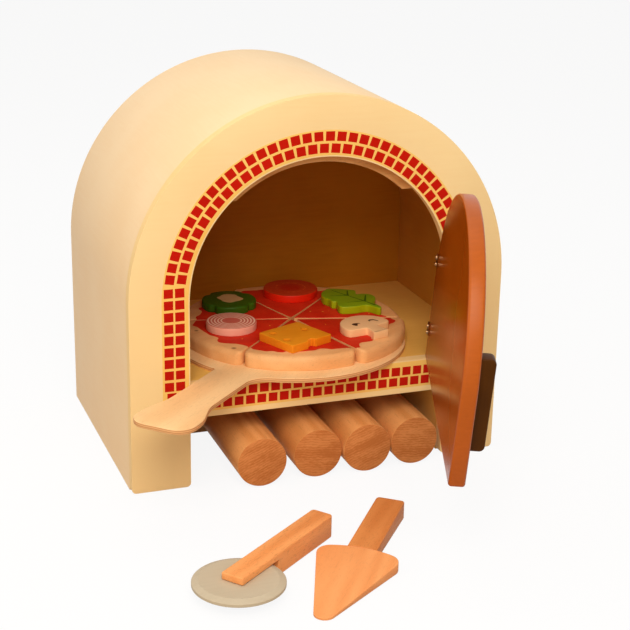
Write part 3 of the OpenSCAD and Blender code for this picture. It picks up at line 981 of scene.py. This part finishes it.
@dataclass
class Door:
    """The arched door on its leaning hinge line, with the handle block."""

    builder: Builder
    body: OvenBody
    gap: float = 1.6
    foot: float = 89.5
    thickness: float = 12.5
    opened: float = 71.0
    edge: float = 2.4
    corner: float = 3.0
    handle_size: Triple = (12.0, 12.0, 72.5)
    handle_corner: float = 4.0
    handle_root: float = 0.4
    handle_edge: float = 0.9
    handle_inset: float = 12.9
    handle_foot: float = 113.0

    @property
    def place(self) -> Matrix:
        """Carries what is drawn for the shut door, as seen from the front, to where the door stands at rest.

        Returns:
            The transform in millimetres.
        """
        joint = next(item for item in frame["joints"] if item["name"] == "door_hinge")
        middle = Vector(joint["pos_m"]) / MM + Vector((0, self.builder.depth / 2 / MM, 0))
        turn = Matrix.Rotation(math.radians(self.opened), 4, Vector(joint["axis"]))
        return Matrix.Translation(middle) @ turn @ Matrix.Translation(-middle) @ UPRIGHT_TURN

    def panel(self) -> None:
        """Builds the door itself, its lower corners rounded."""
        radius, foot, corner = self.body.opening - self.gap, self.foot, self.corner
        bend = corner * 0.3
        outline = [(radius - bend, foot + bend), (radius, foot + corner), *self.body.arch(radius, foot, 72)[1:-1],
                   (-radius, foot + corner), (-radius + bend, foot + bend), (-radius + corner, foot),
                   (radius - corner, foot)]
        back = -self.body.panel
        mesh = slab(outline, back, back + self.thickness, self.edge, self.edge, 5)
        mark(mesh, lambda face: abs(face.normal.z) < 0.85)
        turn = Grain.UPRIGHT.value
        stain = Paint("door_paint", (166, 74, 4), (158, 68, 2), 0.24, 0.34, turn, 0.000005)
        rim = Paint("door_edge_paint", (186, 92, 18), (174, 84, 14), 0.34, 0.22, depth=0.00001)
        self.builder.piece(mesh, "door_board", "door", [stain, rim], "door_panel", "stained_door", self.place)

    def handle(self) -> None:
        """Builds the dark handle block, drawn from the side and rounded at its outer ends."""
        wide, proud, tall = self.handle_size
        left = -(self.body.opening - self.gap) + self.handle_inset
        low = self.handle_foot
        face = self.thickness - self.body.panel - HAIR
        corners = [(face, low), (face + proud, low), (face + proud, low + tall), (face, low + tall)]
        radii = [self.handle_root, self.handle_corner, self.handle_corner, self.handle_root]
        mesh = slab(round_corners(corners, radii), 0, wide, self.handle_edge, self.handle_edge, 3)
        side_on = Matrix(((0, 0, 1, left), (0, 1, 0, 0), (1, 0, 0, 0), (0, 0, 0, 1)))
        bmesh.ops.transform(mesh, matrix=side_on, verts=mesh.verts[:])
        bmesh.ops.recalc_face_normals(mesh, faces=mesh.faces[:])
        stain = Paint("handle_paint", (80, 44, 4), (68, 36, 2), 0.42, 0.08, Grain.UPRIGHT.value, 0.00002)
        self.builder.piece(mesh, "door_handle_block", "door", [stain], "door_handle", "dark_handle", self.place)

    def build(self) -> None:
        """Builds the door and its handle, and dresses the hinges, their pins and screws, and the hidden dowels."""
        self.panel()
        self.handle()
        dress = self.builder.dress
        # The hinge leaves' dark, reddish brass is painted shade and a painted reflection of the red door.
        dress(Metal("hinge_metal_shade_and_door_reflection", (120, 66, 20), 0.45), "hinge_panel_leaves", "hinge_door_leaves")
        dress(Metal("screw_metal", (196, 160, 120), 0.25), "hinge_pins", "hinge_panel_screws", "hinge_door_screws")
        dress(Wood("dowel_wood", *DOWEL), "handle_dowels")


@dataclass
class Logs:
    """Four turned logs lying in the bay.

    Each is given by its place across, how far it stands out of the bay, its end's growth lines' angle in
    degrees and where its end has a darker band.
    """

    builder: Builder
    radius: float = 21.0
    back: float = 104.7
    chamfer: float = 0.9
    each: tuple[tuple[float, float, float, float], ...] = (
        (-55.4, 16.9, 24.0, 30.0), (-5.9, 13.5, -8.0, 0.0), (37.3, 15.3, 20.0, 3.0), (80.8, 12.8, -6.0, -9.0))

    def build(self) -> None:
        """Builds each log with its own grain."""
        for index, (x, out, angle, dark) in enumerate(self.each, 1):
            mesh = bmesh.new()
            bmesh.ops.create_cone(mesh, cap_ends=True, segments=ROUND, radius1=self.radius, radius2=self.radius,
                                  depth=self.back + out)
            soften(mesh, self.chamfer, 60, 2)
            mark(mesh, lambda face: abs(face.normal.z) > 0.9)
            centre = (x * MM, 0, self.radius * MM)
            side = Wood(f"log_{index}_side", (232, 166, 102), (214, 144, 80), turn=Grain.DEEP.value,
                        band_mm=6 + index, bend=1.4, bands=0.35, flecks=0.3, roughness=0.6, centre=centre)
            end = EndGrain(f"log_{index}_end", (218, 142, 82), (190, 112, 56), centre, angle, dark)
            self.builder.piece(mesh, f"log_{index}_wood", f"log_{index}_body", [side, end], f"log_{index}",
                               "log_wood", at(x, (self.back - out) / 2, z=self.radius) @ UPRIGHT_TURN)


@dataclass
class Peel:
    """The plywood peel that carries the pizza."""

    builder: Builder
    body: OvenBody
    centre: Point = (-1.6, 74.2)
    radius: float = 99.5
    thickness: float = 4.0
    turn: float = 224.6
    reach: float = 223.0
    neck: float = 17.0
    neck_left: float = 19.4
    notch: float = 2.5
    grip: float = 26.0
    grip_run: float = 5.0
    corner: float = 15.0
    fillet: float = 20.0
    flare_from: float = 165.0
    edge: float = 0.7

    def outline(self) -> Outline:
        """The peel seen from above, its handle along X.

        Returns:
            The outline, counter-clockwise from the neck's right side.
        """
        grip_x = self.reach - self.corner
        side = self.grip - self.corner
        tip = arc((grip_x, -side), self.corner, -90, 0, 8) + arc((grip_x, side), self.corner, 0, 90, 8)
        centre, lean = self.blend(self.neck, self.fillet)
        joint = arc(centre, self.fillet, 270, 180 + lean, 8)
        centre, low_lean = self.blend(self.neck_left, self.notch)
        plate = arc((0, 0), self.radius, lean, 360 - low_lean, 120)
        corner = arc((centre[0], -centre[1]), self.notch, 180 - low_lean, 90, 5)
        return (self.flare(self.neck_left, -1) + tip + self.flare(self.neck, 1)[::-1] + joint + plate[1:]
                + corner[1:])

    def flare(self, neck: float, side: int) -> Outline:
        """One side of the handle, where it widens from the neck to the grip.

        Args:
            neck: The neck's half width on that side.
            side: 1 or -1, the side's sign across the handle.

        Returns:
            The points, from the neck outwards.
        """
        start, end = self.flare_from, self.reach - self.corner - self.grip_run
        points = []
        for step in range(11):
            widening = (self.grip - neck) * (1 - math.cos(math.pi * step / 10)) / 2
            points.append((start + (end - start) * step / 10, side * (neck + widening)))
        return points

    def blend(self, neck: float, radius: float) -> tuple[Point, float]:
        """Finds a fillet between the plate and the neck.

        Args:
            neck: The neck's half width on that side.
            radius: The fillet's radius.

        Returns:
            The fillet's centre, and its angle in degrees seen from the plate.
        """
        across = neck + radius
        along = math.sqrt((self.radius + radius) ** 2 - across ** 2)
        return (along, across), math.degrees(math.atan2(across, along))

    def build(self) -> None:
        """Builds the peel."""
        low = self.body.floor
        mesh = slab(self.outline(), low, low + self.thickness, self.edge, self.edge, 3)
        mark(mesh, lambda face: abs(face.normal.z) < 0.45)
        top = Wood("peel_birch", (253, 212, 156), (246, 198, 140), turn=(0, 0, -self.turn), band_mm=26,
                   bend=3.4, bands=0.3, flecks=0.22, roughness=0.5)
        edge = PlyEdge("peel_edge", low * MM, self.thickness * MM)
        self.builder.piece(mesh, "peel_board", "peel_body", [top, edge], "peel", "birch_ply",
                           at(*self.centre, self.turn))


@dataclass
class Pizza:
    """Six wooden slices with a printed sauce. Each is drawn out a little along its own middle line."""

    builder: Builder
    floor: float = 93.0
    centre: Point = (4.0, 87.0)
    radius: float = 95.0
    height: float = 12.0
    first_cut: float = -14.0
    half: float = 30.0
    crust: float = 5.0
    side_edge: float = 0.9
    low_edge: float = 0.5
    tip: float = 1.2
    corner: float = 6.0
    outs: tuple[float, ...] = (1.9, 1.9, 1.9, 1.9, 4.4, 1.9)
    knots: tuple[tuple[tuple[float, float, float, float], ...], ...] = (
        (), (), ((-65.8, -82.0, 104.6, 2.4), (-83.5, -31.8, 104.6, 2.0)), ((26.6, -108.9, 104.6, 1.8),), (), ())
    sauce: float = 82.0

    def wedge(self) -> tuple[Outline, list[float]]:
        """A slice seen from above, its middle line along X.

        Returns:
            The outline and each point's rim radius.
        """
        reach = self.radius - self.corner
        swing = math.degrees(math.asin(self.corner / reach))
        lean = math.radians(self.half - swing)
        corner = arc((reach * math.cos(lean), -reach * math.sin(lean)), self.corner, -90 - self.half,
                     -self.half + swing, 8)
        straight = [(corner[0][0] * share, corner[0][1] * share) for share in (0.25, 0.5, 0.75, 0.9)]
        rim = arc((0, 0), self.radius, -self.half + swing, self.half - swing, 28)[1:-1]
        side = straight + corner
        radii = [self.side_edge] * len(straight)
        radii += [self.side_edge + (self.crust - self.side_edge) * step / 8 for step in range(9)]
        outline = [(self.tip, 0.0), *side, *rim, *((x, -y) for x, y in reversed(side))]
        return outline, [self.low_edge, *radii, *[self.crust] * len(rim), *reversed(radii)]

    def build(self) -> None:
        """Builds the slices, each cut from another part of the plank."""
        for number, (out, knots) in enumerate(zip(self.outs, self.knots), 1):
            middle = self.first_cut + 60 * (number % 6) + self.half
            x = self.centre[0] + out * math.cos(math.radians(middle))
            y = self.centre[1] + out * math.sin(math.radians(middle))
            outline, radii = self.wedge()
            mesh = slab(outline, self.floor, self.floor + self.height, radii, self.low_edge, 5)
            mark(mesh, lambda face: face.normal.z > 0.3)
            wood = Wood(f"slice_{number}_wood", (246, 190, 130), (234, 170, 108), turn=(0, 0, 12 - 7 * number),
                        band_mm=14, bend=1.0, bands=0.14, flecks=0.22, roughness=0.5, depth=0.00003,
                        centre=(-0.03 + 0.004 * number, -0.1 + 0.01 * number, 0.06), knots=knots)
            centre = (x * MM, (y - self.builder.depth / 2 / MM) * MM, 0)
            sauce = Sauce(f"slice_{number}_top", wood, centre, self.sauce)
            self.builder.piece(mesh, f"slice_{number}_piece", f"slice_{number}_body", [wood, sauce],
                               f"slice_{number}", "slice_wood", at(x, y, middle))


@dataclass
class Toppings:
    """The six loose toppings that lie on the slices.

    A disc is its place and radius, and a cut shape is its place and its turn in degrees.
    """

    builder: Builder
    floor: float = 105.0
    height: float = 7.0
    print_lift: float = 0.08
    print_sunk: float = 0.02
    vein_taper: float = 0.4
    mark_spread: Point = (1.15, 1.5)
    tomato_disc: Triple = (24.5, 149.0, 24.5)
    onion_disc: Triple = (-53.5, 77.0, 21.5)
    pepper_disc: Triple = (-38.5, 133.0, 24.0)
    notch_depth: float = 2.4
    notch_turn: float = 37.0
    basil_place: Triple = (65.2, 104.3, 22.0)
    mushroom_place: Triple = (53.4, 37.2, 18.0)
    cheese_place: Triple = (-12.2, 30.4, 23.0)
    cheese_half: Point = (22.0, 21.0)
    cheese_corner: float = 1.6
    hole_ball: float = 8.0
    hole_lift: float = 7.1
    hole_crease: float = 24.0

    @property
    def top(self) -> float:
        """The height of the toppings' upper faces."""
        return self.floor + self.height

    def body_mesh(self, outline: Outline, edge: float) -> Mesh:
        """A topping's block with rounded rims, its upper face marked for the second finish.

        Args:
            outline: Its outline from above.
            edge: Its upper rim's radius.

        Returns:
            The block.
        """
        mesh = slab(outline, self.floor, self.top, edge, edge * 0.7, 4)
        mark(mesh, lambda face: face.normal.z > 0.6)
        return mesh

    def stamp(self, mesh: Mesh, outline: Outline) -> None:
        """Adds a thin printed patch on top of a topping."""
        add_mesh(mesh, slab(outline, self.top - self.print_sunk, self.top + self.print_lift))

    def topping(self, kind: str, shape: str, mesh: Mesh, finishes: Sequence[Finish],
                place: Triple = (0, 0, 0)) -> bpy.types.Object:
        """Puts a topping on its own body."""
        return self.builder.piece(mesh, f"{kind}_{shape}", f"{kind}_body", finishes, f"topping_{kind}",
                                  f"{kind}_paint", at(*place))

    def disc(self, kind: str, spot: Triple, side: Paint, colours: Sequence[Triple], rings: Sequence[float]) -> None:
        """Makes a round topping with a printed top.

        Args:
            kind: The topping.
            spot: Its place and radius.
            side: Its side's paint.
            colours: The print's ground, core and rings.
            rings: The print's core share, first, last, step and dashes.
        """
        x, y, radius = spot
        centre = (x * MM, y * MM - self.builder.depth / 2, 0.0)
        top = RingPrint(f"{kind}_top", *colours, centre, radius, *rings)
        steps = ROUND - 1
        self.topping(kind, "disc", self.body_mesh(arc((x, y), radius, 0, 360 * steps / ROUND, steps), 1.1), [side, top])

    def discs(self) -> None:
        """A red tomato disc with a faint seed ring, and a pink onion disc with thin pale rings."""
        self.disc("tomato", self.tomato_disc, Paint("tomato_side", (238, 40, 12), (224, 32, 8), 0.42),
                  ((196, 62, 26), (190, 22, 8), (226, 96, 48)), (0.4, 0.54, 0.54, 0.12, 420))
        self.disc("onion", self.onion_disc, Paint("onion_side", (246, 178, 156), (240, 166, 144), 0.46),
                  ((214, 108, 90), (210, 100, 84), (255, 222, 196)), (0.26, 0.4, 0.92, 0.13))

    def pepper(self) -> None:
        """A dark green slice with four narrow notches evenly round its rim and a pale middle."""
        x, y, radius = self.pepper_disc
        outline = []
        for step in range(144):
            angle = math.radians(2.5 * step)
            notch = max(0.0, math.cos(math.radians(4 * (2.5 * step - self.notch_turn)))) ** 8
            reach = radius - self.notch_depth * notch
            outline.append((x + reach * math.cos(angle), y + reach * math.sin(angle)))
        mesh = self.body_mesh(outline, 1.2)
        core = [(-9.4, 6.6), (-6.0, 9.0), (-1.4, 13.4), (4.0, 13.0), (9.0, 9.4), (9.6, 5.4), (12.4, -2.6), (9.0, -6.4),
                (5.6, -7.4), (-1.6, -9.6), (-6.6, -5.2), (-7.4, -0.6)]
        self.stamp(mesh, smooth_loop([(x + dx, y + dy) for dx, dy in reversed(core)], 5))
        self.topping("pepper", "slice", mesh, [
            Paint("pepper_side", (62, 104, 14), (48, 90, 10), 0.44),
            Paint("pepper_top", (60, 100, 14), (48, 86, 10), 0.48),
            Paint("pepper_middle", (214, 178, 124), (200, 162, 108))])

    def basil(self) -> None:
        """A lime leaf with dark veins, each given by its ends and half its width."""
        rim = [(4.1, 32.5), (-3.0, 31.2), (-11, 26), (-16.2, 17.3), (-16.4, 10.1), (-18.2, 3.6), (-15.6, 0.6),
               (-20.6, -6.4), (-21.6, -13.4), (-10.9, -20.0), (-3.5, -21.5), (0.2, -24.5), (1.4, -34.6),
               (4.0, -35.8), (6.4, -32.5), (8.0, -23.0), (11.6, -19.5), (20.2, -11.6), (22.4, -2.9), (18.1, 2.9),
               (13.2, 5.7), (18.8, 12.8), (17.6, 17.6), (11.9, 25.0)]
        mesh = self.body_mesh(smooth_loop(rim, 5), 0.9)
        veins = [((3.4, 8), (2.6, 27), 0.6), ((4.6, -13), (3.4, 9), 0.75), ((4.4, -28.6), (4.7, -12.5), 0.85),
                 ((3.4, 6.6), (13.1, 17.6), 1.0), ((4.7, -14.4), (17.4, -2.1), 1.1), ((3.4, 7.6), (-9.8, 16.2), 0.55),
                 ((4.7, -13.4), (-10.1, -6.8), 0.6)]
        for start, end, half in veins:
            start, end = Vector(start), Vector(end)
            along = (end - start).normalized()
            across = Vector((-along.y, along.x)) * half
            tip = across * self.vein_taper
            corners = [start - across, end - tip, end + tip, start + across]
            self.stamp(mesh, [(spot.x, spot.y) for spot in corners])
        self.topping("basil", "leaf", mesh, [
            Paint("basil_side", (164, 180, 10), (152, 168, 6), 0.42),
            Paint("basil_top", (134, 166, 20), (116, 150, 12), 0.46),
            Paint("basil_vein", (52, 92, 12), (40, 80, 8), 0.5)], self.basil_place)

    def mushroom(self) -> None:
        """A cream mushroom cut with two dark marks, its stalk leaning forwards."""
        rim = [(-5.9, -10.2), (-6.6, -15.0), (-8.6, -21.2), (-7.6, -22.3), (0, -22.2), (5.6, -22.2), (6.6, -21.2),
               (5.4, -15.0), (5.2, -10.2), (7.5, -8.6), (18.8, -7.0), (21.6, -4.0), (22.4, 1.0), (20.6, 8.2),
               (15.6, 14.9), (8.2, 19.6), (0, 21.2), (-8.2, 19.6), (-15.6, 14.9), (-20.6, 8.2), (-22.6, 1.0),
               (-22.2, -4.4), (-18.8, -7.2), (-8.0, -8.8)]
        mesh = self.body_mesh(smooth_loop(rim, 4), 0.9)
        comma = [(-11.4, 2.6), (-10.0, 0.6), (-8.2, 1.0), (-7.2, 2.6), (-4.6, 2.2), (-6.2, 3.8), (-8.6, 4.4),
                 (-10.6, 4.2)]
        dash = [(6.4, 2.2), (8.6, 2.8), (11.0, 2.0), (12.2, -0.6), (12.6, 0.6), (11.6, 3.4), (8.8, 4.4), (6.8, 3.6)]
        for drop in (comma, dash):
            x, y = (sum(axis) / len(drop) for axis in zip(*drop))
            long, wide = self.mark_spread
            bold = [(x + long * (u - x), y + wide * (v - y)) for u, v in drop]
            self.stamp(mesh, smooth_loop(bold, 3))
        self.topping("mushroom", "cut", mesh, [
            Paint("mushroom_side", (252, 206, 152), (248, 196, 140), 0.46),
            Paint("mushroom_top", (253, 216, 160), (251, 208, 150), 0.5),
            Paint("mushroom_marks", (70, 36, 14), (52, 24, 8), 0.5)], self.mushroom_place)

    def cheese(self) -> None:
        """An orange square with shallow holes and a bite in one side."""
        long, wide = self.cheese_half
        corners = [(-long, -wide), (long, -wide), (long, wide), (-long, wide)]
        outline = round_corners(corners, [self.cheese_corner] * 4, 4)
        bite = [(-4.2, 0), (-3.9, 1.6), (-2.8, 2.0), (-2.6, 3.4), (-0.9, 4.0), (0.4, 3.3), (1.5, 4.4), (3.0, 3.6),
                (3.1, 2.0), (4.4, 1.4), (4.6, 0)]
        outline[5:5] = [(x, y - wide) for x, y in bite]
        made = self.topping("cheese", "square", self.body_mesh(outline, 0.7), [
            Paint("cheese_side", (242, 148, 30), (232, 134, 18), 0.46),
            Paint("cheese_paint", (246, 162, 38), (238, 146, 24), 0.46)], self.cheese_place)
        balls = bmesh.new()
        for x, y in ((-14.4, 11.6), (-16.2, -7.6), (12.4, 2.2)):
            ball = bmesh.ops.create_uvsphere(balls, u_segments=32, v_segments=16, radius=self.hole_ball)["verts"]
            bmesh.ops.translate(balls, verts=ball, vec=(x, y, self.top + self.hole_lift))
        bmesh.ops.transform(balls, matrix=self.builder.to_metres @ at(*self.cheese_place), verts=balls.verts[:])
        self.carve(made, balls)

    def carve(self, target: bpy.types.Object, tool_mesh: Mesh) -> None:
        """Cuts a mesh out of a piece and keeps the result as the piece's own mesh.

        Args:
            target: The piece.
            tool_mesh: What is cut away, in metres. It is used up.
        """
        tool = put("tool", settle(tool_mesh, "tool"))
        tool.data.materials.append(target.data.materials[0])
        cut = target.modifiers.new("cut", "BOOLEAN")
        cut.object = tool
        cut.operation = "DIFFERENCE"
        cut.solver = "EXACT"
        shape = target.evaluated_get(bpy.context.evaluated_depsgraph_get())
        result = bpy.data.meshes.new_from_object(shape)
        target.modifiers.clear()
        target.data = result
        result.set_sharp_from_angle(angle=math.radians(self.hole_crease))
        bpy.data.objects.remove(tool)

    def build(self) -> None:
        """Builds all six."""
        self.discs()
        self.pepper()
        self.basil()
        self.mushroom()
        self.cheese()


@dataclass
class Cutter:
    """The pizza cutter: a square stick with a slot, and the wheel in it."""

    builder: Builder
    start: Triple = (-132.9, -185.1, 38.0)
    side: float = 18.5
    length: float = 121.0
    slot: float = 46.5
    gap: float = 0.3
    wheel_radius: float = 33.8
    wheel_thickness: float = 6.2
    bevel: float = 5.1
    rim: float = 2.5
    rim_break: Triple = (0.5, 0.16, 0.3)
    inset: float = 8.6
    bore: float = 2.5
    edge: float = 1.1
    end_corner: float = 3.0

    @property
    def place(self) -> Matrix:
        """The cutter's own place, X along the stick from its slotted end."""
        return at(*self.start)

    def stick(self) -> None:
        """Builds the stick from its side view, its free end's upright edges rounded first."""
        low = self.side / 2 - self.wheel_thickness / 2 - self.gap
        high = self.side - low
        profile = [(0, 0), (self.length, 0), (self.length, self.side), (0, self.side), (0, high),
                   (self.slot, high), (self.slot, low), (0, low)]
        mesh = slab(profile, -self.side / 2, self.side / 2)
        upright = [edge for edge in mesh.edges if all(vert.co.x > self.length - 0.01 for vert in edge.verts)
                   and abs(edge.verts[0].co.z - edge.verts[1].co.z) < 0.01]
        round_edges(mesh, upright, self.end_corner, 6)
        soften(mesh, self.edge, 40, 3)
        wood = Wood("cutter_wood", (250, 174, 108), (238, 154, 88), turn=(0, 0, -self.start[2]), band_mm=10,
                    bend=1.2, bands=0.2, flecks=0.4, roughness=0.52, depth=0.00006)
        self.builder.piece(mesh, "cutter_stick", "cutter", [wood], "cutter_handle", "cutter_beech",
                           self.place @ UPRIGHT_TURN)

    def wheel(self) -> None:
        """Builds the wheel by spinning half of its section, the rim's two corners broken by rim_break."""
        mesh = bmesh.new()
        radius, half, rim = self.wheel_radius, self.wheel_thickness / 2, self.rim / 2
        inwards, outwards, upwards = self.rim_break
        lower = [(self.bore, -half), (radius - self.bevel, -half), (radius - inwards, -rim - outwards),
                 (radius, -rim + upwards)]
        section = lower + [(x, -z) for x, z in reversed(lower)]
        verts, edges = wire(mesh, [(x, 0, z) for x, z in section])
        bmesh.ops.spin(mesh, geom=verts + edges, cent=(0, 0, 0), axis=(0, 0, 1), angle=math.tau, steps=ROUND,
                       use_merge=True)
        bmesh.ops.remove_doubles(mesh, verts=mesh.verts[:], dist=0.001)
        bmesh.ops.recalc_face_normals(mesh, faces=mesh.faces[:])
        paint = Paint("wheel_paint", (200, 188, 164), (194, 181, 156), 0.6, depth=0.00001)
        self.builder.piece(mesh, "cutter_disc", "cutter_wheel_body", [paint], "cutter_wheel", "wheel_paint",
                           self.place @ at(self.inset, 0, z=self.side / 2), crease=15)

    def build(self) -> None:
        """Builds the cutter and dresses its pin."""
        self.stick()
        self.wheel()
        self.builder.dress(Wood("pin_wood", *DOWEL, turn=Grain.UPRIGHT.value), "cutter_pin")


@dataclass
class Server:
    """The cake server: a wedge-shaped blade on a square handle."""

    builder: Builder
    start: Triple = (24.4, -97.5, 231.3)
    handle_length: float = 75.5
    handle_width: float = 23.0
    blade_length: float = 97.0
    blade_width: float = 62.4
    height: float = 14.2
    tip_height: float = 1.8
    tip: float = 7.8
    shoulder: float = 10.4
    back: float = 79.4
    corner: float = 3.0
    blade_rims: tuple[float, float, int] = (1.3, 0.8, 4)
    grip_rims: tuple[float, float, int] = (0.8, 0.6, 3)

    def sloped(self, outline: Outline, rim: tuple[float, float, int], name: str, node: str, wood: Wood) -> None:
        """Makes the blade or the handle as a slab whose top slopes from the handle's free end to the blade's tip.

        Args:
            outline: Its outline from above, X along the server from the handle's free end.
            rim: Its upper and lower rims' radii and their steps.
            name: The piece's name.
            node: The CAD node that it replaces.
            wood: Its finish.
        """
        mesh = slab(outline, 0, self.height, *rim)
        for vert in mesh.verts:
            share = vert.co.x / (self.handle_length + self.blade_length)
            vert.co.z *= 1 + (self.tip_height / self.height - 1) * share
        self.builder.piece(mesh, name, "server", [wood], node, "server_beech", at(*self.start))

    def blade(self) -> None:
        """Builds the blade: a rounded back, two shoulders and a rounded tip."""
        start = self.handle_length
        side = self.blade_width / 2 - self.shoulder
        turn = math.asin(side / (self.back - self.shoulder))
        shoulder_x = start + self.back - (self.back - self.shoulder) * math.cos(turn)
        tip_x = start + self.blade_length - self.tip
        run = Vector((tip_x - shoulder_x, -side))
        lean = math.degrees(math.atan2(run.y, run.x) + math.acos((self.shoulder - self.tip) / run.length))
        bend = 180 - math.degrees(turn)
        outline = (arc((tip_x, 0), self.tip, -lean, lean, 14)
                   + arc((shoulder_x, side), self.shoulder, lean, bend, 8)
                   + arc((start + self.back, 0), self.back, bend, 360 - bend, 20)[1:-1]
                   + arc((shoulder_x, -side), self.shoulder, 360 - bend, 360 - lean, 8))
        wood = Wood("server_blade_wood", (252, 176, 112), (242, 158, 94), turn=(0, 3, -self.start[2]), cut=Cut.PLAIN,
                    band_mm=8, bend=2.4, bands=0.2, flecks=0.18, centre=(-0.075, -0.3, -0.03))
        self.sloped(outline, self.blade_rims, "server_wedge", "server_blade", wood)

    def grip(self) -> None:
        """Builds the handle, its end hollowed to fit the blade's rounded back."""
        half = self.handle_width / 2
        reach = math.degrees(math.asin(half / self.back))
        end = arc((self.handle_length + self.back, 0), self.back + HAIR, 180 + reach, 180 - reach, 6)
        outline = round_corners([(0, -half), end[0], end[-1], (0, half)], [self.corner, 0, 0, self.corner])
        join = len(outline) // 2
        outline[join:join] = end[1:-1]
        wood = Wood("server_handle_wood", (220, 142, 78), (206, 124, 62), turn=(0, 0, -self.start[2]), band_mm=12,
                    bend=1.2, bands=0.2, flecks=0.25)
        self.sloped(outline, self.grip_rims, "server_grip", "server_handle", wood)

    def build(self) -> None:
        """Builds the server and dresses its hidden dowel."""
        self.blade()
        self.grip()
        self.builder.dress(Wood("server_dowel_wood", *DOWEL), "server_dowel")


def facing(place: Triple, ahead: Sequence[float]) -> Matrix:
    """A place in metres whose view or light goes ahead."""
    return Matrix.Translation(place) @ Vector(ahead).to_track_quat("-Z", "Y").to_matrix().to_4x4()


@dataclass(frozen=True)
class Lamp:
    """A soft square lamp: its place, its aim, its side in metres, its power in watts and its colour."""

    name: str
    place: Triple
    aim: Triple
    size: float
    power: float
    tint: Triple

    def build(self) -> None:
        """Hangs the lamp."""
        data = bpy.data.lights.new(self.name, "AREA")
        data.size, data.energy, data.color = self.size, self.power, self.tint
        put(self.name, data).matrix_world = facing(self.place, Vector(self.aim) - Vector(self.place))


@dataclass
class Studio:
    """The floor, the light and the camera.

    The floor's ground and the sky light the object. The camera and glossy surfaces see both as white.
    """

    eye: Triple = (-0.4108, -1.2033, 0.5373)
    ahead: Triple = (0.3286, 0.8869, -0.3247)
    roll: float = 1.15
    lens: float = 86.93
    sensor: float = 36.0
    near: float = 0.05
    reach: float = 6.0
    sink: float = 0.0004
    sky: tuple[float, ...] = (1.0, 0.96, 0.92, 1)
    sky_strength: float = 0.36
    white: tuple[float, ...] = (1, 1, 1, 1)
    ground: tuple[float, ...] = (0.5, 0.4, 0.3, 1)
    pale_ground: tuple[float, ...] = (0.95, 0.95, 0.95, 1)
    glow: float = 0.9
    lamps: tuple[Lamp, ...] = (
        Lamp("key", (-0.45, -1.45, 1.5), (0, 0, 0.15), 1.1, 26, (1.0, 0.88, 0.74)),
        Lamp("overhead", (-0.1, 0.2, 1.6), (0, 0, 0.1), 1.3, 5, (1.0, 0.98, 0.96)),
        Lamp("low", (-0.75, -1.5, 0.4), (-0.1, 0, 0.1), 0.9, 2.6, (1.0, 0.9, 0.76)),
        Lamp("side", (-1.5, -0.1, 0.9), (0, 0, 0.15), 1.0, 4, (1.0, 0.97, 0.96)))

    def camera(self) -> None:
        """Puts the camera where the photograph was taken from."""
        data = bpy.data.cameras.new("camera")
        data.lens, data.sensor_width, data.clip_start = self.lens, self.sensor, self.near
        made = put("camera", data)
        made.matrix_world = facing(self.eye, self.ahead) @ Matrix.Rotation(math.radians(self.roll), 4, "Z")
        bpy.context.scene.camera = made

    def seen(self, graph: Graph) -> Socket:
        """Tells the rays that see white from those that carry light.

        Args:
            graph: The graph to add nodes to.

        Returns:
            A factor of 1 for camera, glossy and transmission rays.
        """
        path = graph.node("LightPath").outputs
        return graph.math("MAXIMUM", graph.math("MAXIMUM", path["Is Camera Ray"], path["Is Glossy Ray"]),
                          path["Is Transmission Ray"])

    def world(self) -> None:
        """Makes an even pale surrounding that looks white."""
        graph = Graph("studio", "worlds")
        soft = graph.node("Background", {"Color": self.sky, "Strength": self.sky_strength}).outputs[0]
        plain = graph.node("Background", {"Color": self.white, "Strength": 1.0}).outputs[0]
        graph.end(graph.node("MixShader", {0: self.seen(graph), 1: soft, 2: plain}), "OutputWorld")
        bpy.context.scene.world = graph.owner

    def floor(self) -> None:
        """Lays a plain pale floor that looks white and keeps a soft shadow."""
        mesh = bmesh.new()
        bmesh.ops.create_grid(mesh, x_segments=1, y_segments=1, size=self.reach)
        made = put("floor", settle(mesh, "floor"))
        made.location = (0, 0, -self.sink)
        graph = Graph("floor_white")
        seen = self.seen(graph)
        plain = graph.node("BsdfDiffuse", {"Color": graph.mix(seen, self.ground, self.pale_ground)}).outputs[0]
        glow = graph.node("Emission", {"Color": self.white, "Strength": 1.0}).outputs[0]
        graph.end(graph.node("MixShader", {0: graph.times(seen, self.glow), 1: plain, 2: glow}))
        made.data.materials.append(graph.owner)

    def build(self) -> None:
        """Sets the scene up."""
        self.camera()
        for lamp in self.lamps:
            lamp.build()
        self.world()
        self.floor()
        bpy.context.scene.view_settings.view_transform = "Standard"


def main() -> None:
    """Builds the sub-assemblies in order."""
    logging.basicConfig(level=logging.INFO, format="%(name)s %(message)s")
    Studio().build()
    builder = Builder()
    body = OvenBody(builder)
    for assembly in (body, Mosaic(body), Door(builder, body), Logs(builder), Peel(builder, body), Pizza(builder),
                     Toppings(builder), Cutter(builder), Server(builder)):
        assembly.build()


if __name__ == "__main__":
    main()
